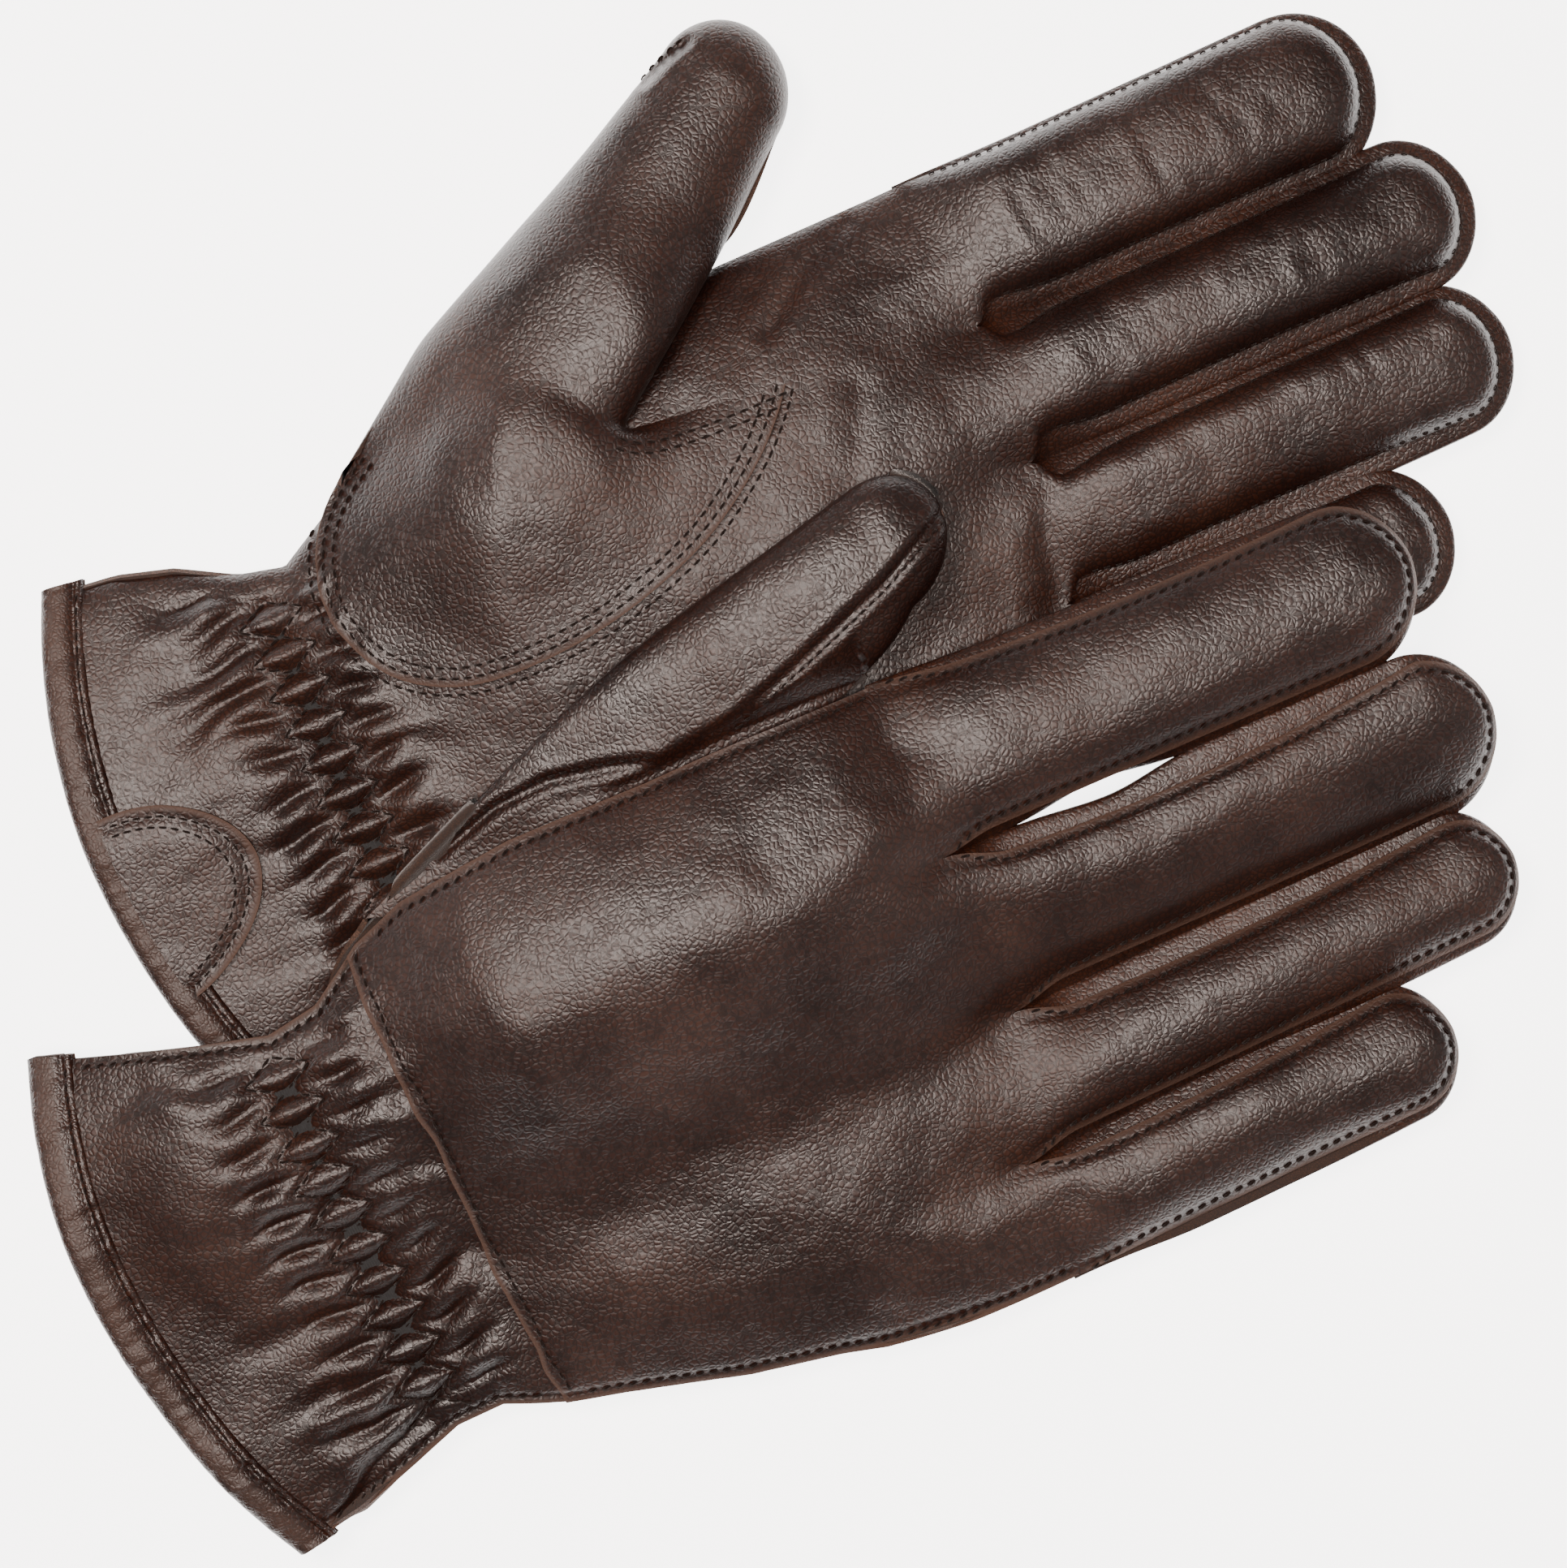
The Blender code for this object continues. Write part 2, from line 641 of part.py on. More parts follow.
def thumb_tip(glove, name, depth, thickness, colour, pivot, rows, columns):
    """The end of the thumb, a rounded tube that begins at the thumb joint."""
    du, dv = thumb_direction(glove)
    thumb = glove.thumb
    straight = 0.6

    def surface(a, b):
        station = 2.0 + min(1.0, a / straight)
        point = thumb.section(station, b)
        inner = thumb.section(station, 0.0)
        outer = thumb.section(station, 0.5)
        lower = thumb.section(station, 0.75)
        upper = thumb.section(station, 0.25)
        centre = mix(inner, outer, 0.5)
        middle = (lower[2] + upper[2]) / 2.0
        half = math.dist(inner[:2], outer[:2]) / 2.0
        height = (upper[2] - lower[2]) / 2.0
        turn = max(0.0, a - straight) / (1.0 - straight) * math.pi / 2.0
        cap = math.cos(turn)
        in_plan = (half - depth) / half * cap
        in_height = (height - depth) / height * cap
        reach = (thumb.tip_half - depth) * math.sin(turn) + 2.0 * GAP * (3.0 - station)
        seam_split = inner[2] - thumb.section(station, 1.0)[2]
        near_seam = (1.0 + math.cos(2.0 * math.pi * b)) / 2.0
        closing = seam_split / 2.0 * near_seam * (-1.0 if b <= 0.5 else 1.0)
        u = centre[0] + (point[0] - centre[0]) * in_plan + du * reach
        v = centre[1] + (point[1] - centre[1]) * in_plan + dv * reach
        z = middle + (point[2] + closing - middle) * in_height
        return u, v, thumb_height(glove, u, v, z, b <= 0.5, depth)

    name = glove.side + "_" + name
    return sheet(name, rows, columns, surface, thickness, colour, pivot)


# ------------------------------------------------------------------ assembly
def build(glove):
    """Every piece of one glove."""
    palm_up = glove.side == "left"
    knuckle = glove.knuckle
    wrist = glove.hem + 54.0
    waist = glove.hem + 28.0

    hand_sheet(glove, "palm_panel", glove.hem, knuckle, 15, palm_up)
    hand_sheet(glove, "back_panel", wrist + GAP, knuckle, 11, not palm_up)
    hand_sheet(glove, "cuff_back", glove.hem, wrist, 7, not palm_up)
    hand_tube(glove, "hand_lining", glove.hem + 9.0, knuckle, 16, HAND_LINING_DEPTH, 9.0,
              LINING, LINING_GREY, stop=7.0)
    hand_tube(glove, "wrist_elastic", waist, waist + ELASTIC_BAND, 2, ELASTIC_DEPTH, 5.5,
              ELASTIC, ELASTIC_BLACK)
    hand_tube(glove, "hem_binding", glove.hem - BINDING_OVERHANG, glove.hem + BINDING_WIDTH, 2,
              -BINDING_CLEARANCE, -BINDING_SIDE, LEATHER, EDGE_BROWN)
    half_moon(glove, 0.43, palm_up)

    for finger in glove.fingers:
        pivot = finger_pivot(glove, finger)
        finger_sheet(glove, finger, "palm", palm_up, pivot)
        finger_sheet(glove, finger, "back", not palm_up, pivot)
        finger_lining(glove, finger, pivot)
        if finger.name != "little":
            finger_strip(glove, finger, -1, pivot)
        finger_strip(glove, finger, 1, pivot)

    pivot = thumb_pivot(glove)
    thumb_base(glove)
    thumb_tip(glove, "thumb_tip", 0.0, LEATHER, BROWN, pivot, 10, 16)
    thumb_tip(glove, "thumb_lining", LINING_DEPTH, LINING, LINING_GREY, pivot, 8, 12)


LEFT = Glove(
    "left", LEFT_OUTLINE, LEFT_CROWN, (-102.0, -9.5, 1.0),
    (Finger("little", (56.0, -2.2), (125.0, -4.6), 10.6, 12.0, (1.0, 1.0)),
     Finger("ring", (60.0, 20.6), (147.0, 20.6), 11.6, 12.2, (0.95, 0.2)),
     Finger("middle", (62.0, 45.8), (151.0, 46.0), 12.0, 12.2),
     Finger("index", (60.0, 72.6), (144.0, 73.0), 14.0, 14.4)),
    ((56.0, -12.6), (58.0, 8.7), (62.0, 33.3), (63.0, 58.4), (60.0, 86.3)),
    Thumb(((0.0, 66.0, 17.6), (14.7, 76.6, 17.6), (30.3, 89.5, 10.2), (45.6, 102.6, 9.2)),
          ((-25.0, 95.0, 9.0), (-2.7, 105.4, 9.0), (13.7, 113.1, 8.8), (33.4, 123.4, 8.8)),
          ((0.0, 86.4, 5.0), (12.0, 87.6, 5.0), (30.3, 89.5, 8.0), (45.6, 102.6, 8.4)),
          (9.5, 9.5, 9.6, 8.2), (4.0, 4.6, 7.0, 7.6), 12.2, (1.0, 1.0, 1.0, 1.0)))

RIGHT = Glove(
    "right", RIGHT_OUTLINE, RIGHT_CROWN, (-131.0, -9.5, -3.5),
    (Finger("little", (12.0, -87.3), (89.5, -84.2), 10.4, 11.0),
     Finger("ring", (16.5, -63.7), (111.0, -61.3), 10.8, 11.0),
     Finger("middle", (21.0, -36.2), (117.0, -36.6), 13.4, 13.4),
     Finger("index", (20.0, -5.6), (113.5, -7.6), 15.3, 14.2)),
    ((12.0, -97.3), (12.0, -76.0), (21.0, -51.2), (20.0, -21.8), (20.0, 9.4)),
    Thumb(((-22.0, -9.0, 17.6), (-3.0, 2.5, 20.0), (24.4, 13.1, 21.8), (33.4, 18.8, 23.2)),
          ((-38.2, 22.5, 21.0), (-13.4, 31.0, 23.0), (17.6, 37.9, 24.0), (30.8, 40.8, 24.0)),
          ((-22.0, -9.0, 15.0), (-3.0, 2.5, 16.5), (24.4, 13.1, 20.8), (33.4, 18.8, 22.6)),
          (2.5, 5.0, 6.6, 6.2), (2.0, 3.0, 5.4, 5.2), 12.4, (0.6, 0.8, 1.0, 1.0)))


def main():
    """Clear the file and build both gloves."""
    for old in list(bpy.data.objects):
        bpy.data.objects.remove(old, do_unlink=True)
    bpy.context.scene.collection.children.link(PARTS)
    bpy.context.scene.collection.children.link(CUTTERS)
    for glove in (LEFT, RIGHT):
        build(glove)


PARTS = bpy.data.collections.new("leather_gloves")
CUTTERS = bpy.data.collections.new("cutters")
main()
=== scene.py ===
"""Looks of a pair of brown leather gloves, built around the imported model.

Lengths are millimetres in the gloves' own plan: u runs from the cuffs to the fingertips and v from
the right glove's little finger to the left glove's thumb.  CENTRE moves plan points into the row
frame.  Each face of a glove is one continuous skin of leather, split where its fingers turn.
"""

import json
import math

import bpy
import numpy as np
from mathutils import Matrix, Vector
from mathutils.bvhtree import BVHTree

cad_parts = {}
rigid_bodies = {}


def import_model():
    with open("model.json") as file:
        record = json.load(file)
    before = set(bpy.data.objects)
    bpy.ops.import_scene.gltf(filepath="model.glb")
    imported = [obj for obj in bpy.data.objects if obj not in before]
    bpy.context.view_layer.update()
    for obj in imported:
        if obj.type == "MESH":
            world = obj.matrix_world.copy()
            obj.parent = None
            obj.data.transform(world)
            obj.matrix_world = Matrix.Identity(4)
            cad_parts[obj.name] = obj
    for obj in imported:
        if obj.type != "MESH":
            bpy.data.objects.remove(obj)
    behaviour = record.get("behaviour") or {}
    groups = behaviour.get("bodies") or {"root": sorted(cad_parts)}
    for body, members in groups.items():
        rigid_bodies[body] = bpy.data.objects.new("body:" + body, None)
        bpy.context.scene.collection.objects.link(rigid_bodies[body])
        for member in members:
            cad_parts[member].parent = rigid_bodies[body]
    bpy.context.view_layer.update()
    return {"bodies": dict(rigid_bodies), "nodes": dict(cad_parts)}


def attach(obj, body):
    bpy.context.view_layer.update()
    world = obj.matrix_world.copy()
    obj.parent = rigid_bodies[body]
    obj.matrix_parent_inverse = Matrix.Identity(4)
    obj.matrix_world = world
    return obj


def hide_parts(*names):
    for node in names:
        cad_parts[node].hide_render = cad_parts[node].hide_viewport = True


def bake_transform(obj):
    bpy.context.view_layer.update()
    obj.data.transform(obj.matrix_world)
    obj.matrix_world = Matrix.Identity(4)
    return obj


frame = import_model()

MM = 0.001
CENTRE = (4.289, 14.009)
LEATHER = 1.0

HAND_EDGE_TOP = 8.4
HAND_EDGE_BOTTOM = 6.0
CUFF_EDGE_TOP = 7.9
CUFF_EDGE_BOTTOM = 4.0
CUFF_RAISE = 1.7
SEAM_TOP = 12.0
SEAM_BOTTOM = 4.5
CROWN = 4.5
PRESSED_SEAM_TOP = 8.6
PRESSED_SEAM_BOTTOM = 3.1
PRESSED_CROWN = 2.6
PRESSED_HAND = 0.6
TIP_TOP = 10.6
TIP_BOTTOM = 4.9
INDEX_OUTER_TOP = 10.8
KNUCKLE_BLEND = 16.0
CROTCH_REACH = 15.0
LIFT_START = -58.0
LIFT_RUN = 47.0
LIFT_HEIGHT = 11.9
LIFT_THUMB_ROOM = 5.6
LIFT_CUFF_SHARE = 0.5
WEB = 0.5
UNDER_RELIEF = -0.6
ROW_INSET = 1.55
SEAM_START = -72.0
OUTER_SIDE = {"index": 1.0, "little": -1.0}

LEFT_OUTLINE = (
    (-102.0, -13.0, 81.5), (-90.0, -9.0, 80.0), (-80.0, -6.0, 77.0), (-70.0, -3.5, 71.5),
    (-62.0, -3.0, 69.5), (-50.0, -5.5, 76.0), (-35.0, -9.0, 80.0), (0.0, -12.5, 84.0),
    (27.0, -13.0, 86.5), (45.0, -13.0, 86.5), (60.0, -12.8, 86.5))
RIGHT_OUTLINE = (
    (-131.0, -86.0, 9.0), (-118.0, -84.0, 4.5), (-105.0, -80.5, 0.0), (-95.0, -77.5, -3.0),
    (-86.0, -77.3, -1.5), (-76.0, -81.5, 5.0), (-66.0, -84.0, 8.5), (-45.0, -90.0, 10.5),
    (-20.0, -95.0, 10.0), (0.0, -97.0, 10.5), (20.0, -97.5, 10.0))
LEFT_CROWN = ((-112.0, 6.5), (-82.0, 5.2), (-66.0, 4.6), (-50.0, 7.0), (-30.0, 10.5),
              (20.0, 11.0), (60.0, 8.0))
RIGHT_CROWN = ((-141.0, 6.5), (-110.0, 5.4), (-95.0, 4.6), (-80.0, 6.5), (-58.0, 10.0),
               (-20.0, 11.0), (20.0, 8.0))
KEYSTONE = ((29.0, 62.0), (26.0, 58.0), (20.0, 52.0), (10.0, 45.0), (0.0, 40.5), (-15.0, 36.5),
            (-30.0, 35.5), (-42.0, 37.0), (-52.0, 43.0), (-57.0, 52.0), (-58.5, 60.0),
            (-56.0, 70.0), (-50.0, 77.5), (-42.0, 82.0))
KEYSTONE_TOP = ((29.0, 62.0), (20.0, 62.0), (10.0, 62.5), (3.0, 63.5), (0.0, 66.0))
RIGHT_SHIFT = (-31.0, -73.5)


# ------------------------------------------------------------------ arithmetic on arrays
def clamp(x):
    """x held between 0 and 1."""
    return np.clip(x, 0.0, 1.0)


def smooth(x):
    """A soft step from 0 to 1."""
    x = clamp(x)
    return x * x * (3.0 - 2.0 * x)


def lerp(a, b, f):
    """The value a fraction f of the way from a to b."""
    return a + (b - a) * f


def column(stations, x, index=1):
    """One column of a table of stations, read at x."""
    stations = np.array(stations)
    return np.interp(x, stations[:, 0], stations[:, index])


def hump(x, centre, width):
    """A soft bump of height 1."""
    return np.exp(-((x - centre) / width) ** 2)


def unit_grid(rows, columns):
    """Fractions from 0 to 1 down the rows and across the columns of a grid."""
    return np.meshgrid(np.linspace(0.0, 1.0, rows), np.linspace(0.0, 1.0, columns), indexing="ij")


def noise(x, y, seed):
    """Smooth random values from -1 to 1 over a plane, one lattice point per unit."""
    values = np.random.default_rng(seed).uniform(-1.0, 1.0, (256, 256))
    x, y = np.broadcast_arrays(np.asarray(x, float), np.asarray(y, float))
    i, j = np.floor(x).astype(int), np.floor(y).astype(int)
    fx, fy = smooth(x - i), smooth(y - j)
    a = lerp(values[i % 256, j % 256], values[(i + 1) % 256, j % 256], fx)
    b = lerp(values[i % 256, (j + 1) % 256], values[(i + 1) % 256, (j + 1) % 256], fx)
    return lerp(a, b, fy)


def line_distance(u, v, points):
    """Distance from each (u, v) to a polyline."""
    best = np.full(np.shape(u), 1e9)
    for (ax, ay), (bx, by) in zip(points, points[1:]):
        dx, dy = bx - ax, by - ay
        f = clamp(((u - ax) * dx + (v - ay) * dy) / (dx * dx + dy * dy))
        best = np.minimum(best, np.hypot(u - ax - f * dx, v - ay - f * dy))
    return best


def along(points, f):
    """Points a fraction f of the way along a polyline, by length."""
    points = np.array(points, float)
    steps = np.hypot(*np.diff(points[:, :2], axis=0).T)
    length = np.concatenate([[0.0], np.cumsum(steps)]) / steps.sum()
    return np.stack([np.interp(f, length, points[:, k]) for k in range(points.shape[1])], -1)


def rounded(points, rounds):
    """A polyline with its corners cut into a smooth curve."""
    points = np.array(points, float)
    for _ in range(rounds):
        a, b = points[:-1], points[1:]
        cut = np.stack([lerp(a, b, 0.25), lerp(a, b, 0.75)], 1).reshape(-1, points.shape[1])
        points = np.concatenate([points[:1], cut, points[-1:]])
    return points


# ------------------------------------------------------------------ fingers and gloves
class Finger:
    """One finger: a straight centre line, a rounded end, and its seams' places."""

    def __init__(self, name, base, tip, half_base, half_tip, pressed=(0.0, 0.0), strip=(0.0, 0.0)):
        self.name = name
        self.base = base
        self.length = math.dist(base, tip)
        self.direction = ((tip[0] - base[0]) / self.length, (tip[1] - base[1]) / self.length)
        self.half_base = half_base
        self.half_tip = half_tip
        self.pressed = pressed
        self.strip = strip

    def start(self, t):
        """Distance along the centre line where the finger begins, at t across it."""
        return lerp(self.starts[0], self.starts[1], (t + 1.0) / 2.0)

    def cap(self, x, inset):
        """Width factor that rounds off the fingertip."""
        radius = self.half_tip - inset
        past = np.maximum(0.0, x - (self.length - inset - radius))
        return np.sqrt(np.maximum(0.0, 1.0 - (past / radius) ** 2))

    def reach(self, x, t, insets, inner=False):
        """Sideways distance from the centre line; insets are for the low side, high side and tip.

        The faces stand back from a slit to show the strips, which close it as inner leather.
        """
        low, high, tip = insets
        side = np.where(t > 0.0, 1.0, -1.0)
        from_root = x - self.start(side)
        full = lerp(self.half_base, self.half_tip, clamp(x / self.length))
        full = full - np.where(t > 0.0, high, low)
        opening = 24.0
        if not inner:
            strip = np.where(t > 0.0, self.strip[1], self.strip[0])
            full = full - strip * np.sin(math.pi * clamp(from_root / (0.9 * self.length))) ** 0.7
            outer = side == OUTER_SIDE.get(self.name, 0.0)
            full = full - np.where(outer, 0.0, self.glove.loop * hump(from_root, 5.0, 6.0))
            opening = np.where(outer, KNUCKLE_BLEND, self.glove.opening)
        root = np.where(t > 0.0, self.root_reach[1], self.root_reach[0])
        if inner:
            root = root + WEB
        return t * lerp(root, full, smooth(from_root / opening)) * self.cap(x, tip)

    def plan(self, x, t, insets, inner=False):
        """Point in plan at x along and t across."""
        reach = self.reach(x, t, insets, inner)
        du, dv = self.direction
        return self.base[0] + du * x - dv * reach, self.base[1] + dv * x + du * reach

    def row(self, s, t, tip_inset):
        """Distance along the finger for row s from 0 to 1, packed closer towards the tip."""
        first = self.start(t)
        return first + (self.length - tip_inset - first) * np.sin(s * math.pi / 2.0)

    def press(self, t):
        """How far the other glove presses the finger down, at t across it."""
        return lerp(self.pressed[0], self.pressed[1], (t + 1.0) / 2.0)

    def seams(self, x, t):
        """Heights of the upper and lower seams."""
        press = self.press(t)
        top = lerp(SEAM_TOP, PRESSED_SEAM_TOP, press)
        bottom = lerp(SEAM_BOTTOM, PRESSED_SEAM_BOTTOM, press)
        tip_top, tip_bottom = TIP_TOP, TIP_BOTTOM
        if self.name == "little":
            closed = (1.0 - t) / 2.0
            top = lerp(top, np.minimum(top, HAND_EDGE_TOP), closed)
            bottom = lerp(bottom, HAND_EDGE_BOTTOM - 0.5 * press, closed)
            tip_top = 10.2
        if self.name == "index":
            top = lerp(top, INDEX_OUTER_TOP, (1.0 + t) / 2.0)
        press = (self.pressed[0] + self.pressed[1]) / 2.0
        toward = smooth((x / self.length - 0.5) / 0.42)
        return (lerp(top, tip_top - 0.8 * press, toward),
                lerp(bottom, tip_bottom - 1.2 * press, toward))

    def top(self, x, t, insets):
        """Height of the upper leather."""
        crown = lerp(CROWN, PRESSED_CROWN, self.press(t))
        shape = (1.0 - np.abs(t) ** self.glove.roundness) ** (1.9 / self.glove.roundness)
        return self.seams(x, t)[0] + crown * shape * self.cap(x, insets[2]) ** 0.8

    def bottom(self, x, t, insets):
        """Height of the lower leather."""
        return self.seams(x, t)[1] * (1.0 - (1.0 - np.abs(t) ** 3) * self.cap(x, insets[2]))


class Glove:
    """One glove: outline, heights and fingers."""

    def __init__(self, side, outline, crown, hem, fingers, crotches, insets, shape):
        self.side = side
        self.outline = outline
        self.crown = crown
        self.hem, self.bow, self.tilt = hem
        self.fingers = fingers
        self.crotches = np.array(crotches)
        self.insets = insets
        self.opening, self.loop, self.roundness = shape
        self.palm_up = side == "left"
        self.knuckle = crotches[-1][0]
        self.turn = self.knuckle - 50.0
        for finger, low, high in zip(fingers, crotches, crotches[1:]):
            finger.glove = self
            finger.starts = (low[0] - finger.base[0], high[0] - finger.base[0])
            centre = [finger.base[1] + finger.direction[1] * s for s in finger.starts]
            finger.root_reach = (centre[0] - low[1], high[1] - centre[1])

    def crotch_line(self, q):
        """Points across the line that joins the crotches."""
        place = clamp(q) * (len(self.crotches) - 1)
        steps = np.arange(len(self.crotches))
        return (np.interp(place, steps, self.crotches[:, 0]),
                np.interp(place, steps, self.crotches[:, 1]))

    def share(self, q):
        """Fraction of the hand's width below q."""
        low, high = self.crotches[0][1], self.crotches[-1][1]
        return (self.crotch_line(q)[1] - low) / (high - low)

    def plan(self, rho, q, grow=0.0):
        """Point in plan on row rho of the hand, a fraction q across it."""
        share = self.share(q)
        across = 2.0 * share - 1.0
        fade = 1.0 - smooth((rho - self.hem) / 45.0)
        low = column(self.outline, rho, 1) - grow
        high = column(self.outline, rho, 2) + grow
        u = np.minimum(rho, self.turn) + (self.bow * (1.0 - across ** 2) + self.tilt * across) * fade
        v = lerp(low, high, share)
        f = clamp((rho - self.turn) / (self.knuckle - self.turn))
        end_u, end_v = self.crotch_line(q)
        return lerp(u, end_u, f), lerp(v, end_v + grow * across, smooth(f))

    def sides(self, u):
        """The two side edges of the hand, low and high."""
        return column(self.outline, u, 1), column(self.outline, u, 2)

    def edge_distance(self, u, v):
        """Distance in from the nearer side edge."""
        low, high = self.sides(u)
        return np.minimum(v - low, high - v)

    def across(self, u, v):
        """Position across the hand from -1 to 1."""
        low, high = self.sides(u)
        return np.clip((2.0 * v - low - high) / (high - low), -1.0, 1.0)

    def near_crotch(self, u, v):
        """0 on a crotch between fingers, growing to 1 over a finger or the hand."""
        points = self.crotches
        index = np.clip(np.searchsorted(points[:, 1], v) - 1, 0, len(points) - 2)
        a, b = points[index], points[index + 1]
        f = clamp((v - a[..., 1]) / (b[..., 1] - a[..., 1]))
        behind = np.maximum(0.0, lerp(a[..., 0], b[..., 0], f) - u)
        last = len(points) - 2
        outer = ((index == 0) & (f < 0.5)) | ((index == last) & (f > 0.5))
        return np.hypot(np.where(outer, 1.0, np.sin(f * math.pi)), behind / CROTCH_REACH)

    def pressed(self, v):
        """How far the other glove presses this one down."""
        return 1.0 - smooth((v - 11.0) / 30.0) if self.palm_up else np.zeros(np.shape(v))

    def lift(self, u, v):
        """How far this glove is held up by the one under it."""
        if self.palm_up:
            return np.zeros(np.shape(v))
        room = smooth((u + 78.0) / 25.0) * (1.0 - smooth((u - 8.0) / 25.0))
        cuff = lerp(LIFT_CUFF_SHARE, 1.0, smooth((u + 138.0) / 26.0))
        return (LIFT_HEIGHT + LIFT_THUMB_ROOM * room) * cuff * smooth((v - LIFT_START) / LIFT_RUN)

    def cuff(self, u):
        """1 in the cuff, 0 in the hand."""
        return 1.0 - smooth((u - self.hem - 30.0) / 25.0)

    def top(self, u, v):
        """Height of the upper leather of the hand."""
        press = self.pressed(v)
        edge = lerp(HAND_EDGE_TOP, CUFF_EDGE_TOP, self.cuff(u))
        crown = column(self.crown, u) * lerp(1.0, PRESSED_HAND, press)
        palm = edge + crown * (1.0 - np.abs(self.across(u, v)) ** 3)
        seam = lerp(SEAM_TOP, PRESSED_SEAM_TOP, press)
        over = seam + lerp(CROWN, PRESSED_CROWN, press) * self.near_crotch(u, v)
        h = np.maximum(4.0 - np.abs(palm - over), 0.0) / 4.0
        return np.minimum(palm, over) - h * h + self.lift(u, v)

    def bottom(self, u, v):
        """Height of the lower leather of the hand."""
        edge = lerp(HAND_EDGE_BOTTOM, CUFF_EDGE_BOTTOM, self.cuff(u))
        seam = lerp(SEAM_BOTTOM, PRESSED_SEAM_BOTTOM, self.pressed(v))
        dip = seam * np.maximum(0.0, 1.0 - 1.3 * self.near_crotch(u, v))
        raised = CUFF_RAISE * self.cuff(u)
        return np.maximum(edge * self.across(u, v) ** 4, dip) + raised + self.lift(u, v)

    def finger_height(self, finger, x, t, u, v, upper, insets):
        """Height of a finger's leather, run into the hand at its root."""
        own = finger.top(x, t, insets) if upper else finger.bottom(x, t, insets)
        hand = self.top(u, v) if upper else self.bottom(u, v)
        own = own + self.lift(u, v)
        return lerp(hand, own, smooth((x - finger.start(t)) / KNUCKLE_BLEND))

    def body(self, digit="hand"):
        """Name of the body a digit belongs to."""
        name = self.side + "_" + digit
        return name if name in frame["bodies"] else self.side + "_hand"


LEFT = Glove(
    "left", LEFT_OUTLINE, LEFT_CROWN, (-102.0, -9.5, 1.0),
    (Finger("little", (56.0, -2.2), (125.0, -4.6), 10.6, 12.0, (1.0, 1.0)),
     Finger("ring", (60.0, 20.6), (147.0, 20.6), 11.6, 12.2, (0.95, 0.2), (0.8, 0.2)),
     Finger("middle", (62.0, 45.8), (151.0, 46.0), 12.0, 12.2, strip=(1.0, 0.2)),
     Finger("index", (60.0, 72.6), (144.0, 73.0), 14.0, 14.4, strip=(0.4, 0.0))),
    ((56.0, -12.6), (58.0, 8.7), (62.0, 33.3), (63.0, 58.4), (60.0, 86.3)),
    (1.3, 1.3, 3.8), (4.0, 1.5, 2.6))
RIGHT = Glove(
    "right", RIGHT_OUTLINE, RIGHT_CROWN, (-131.0, -9.5, -3.5),
    (Finger("little", (12.0, -87.3), (89.5, -84.2), 10.4, 11.0, strip=(0.0, 0.9)),
     Finger("ring", (16.5, -63.7), (111.0, -61.3), 10.8, 11.0, strip=(0.0, 1.9)),
     Finger("middle", (21.0, -36.2), (117.0, -36.6), 13.4, 13.4, strip=(0.0, 3.2)),
     Finger("index", (20.0, -5.6), (113.5, -7.6), 15.3, 14.2, strip=(0.0, 1.9))),
    ((12.0, -97.3), (12.0, -76.0), (21.0, -51.2), (20.0, -21.8), (20.0, 9.4)),
    (0.5, 0.5, 0.6), (11.0, 0.0, 2.1))


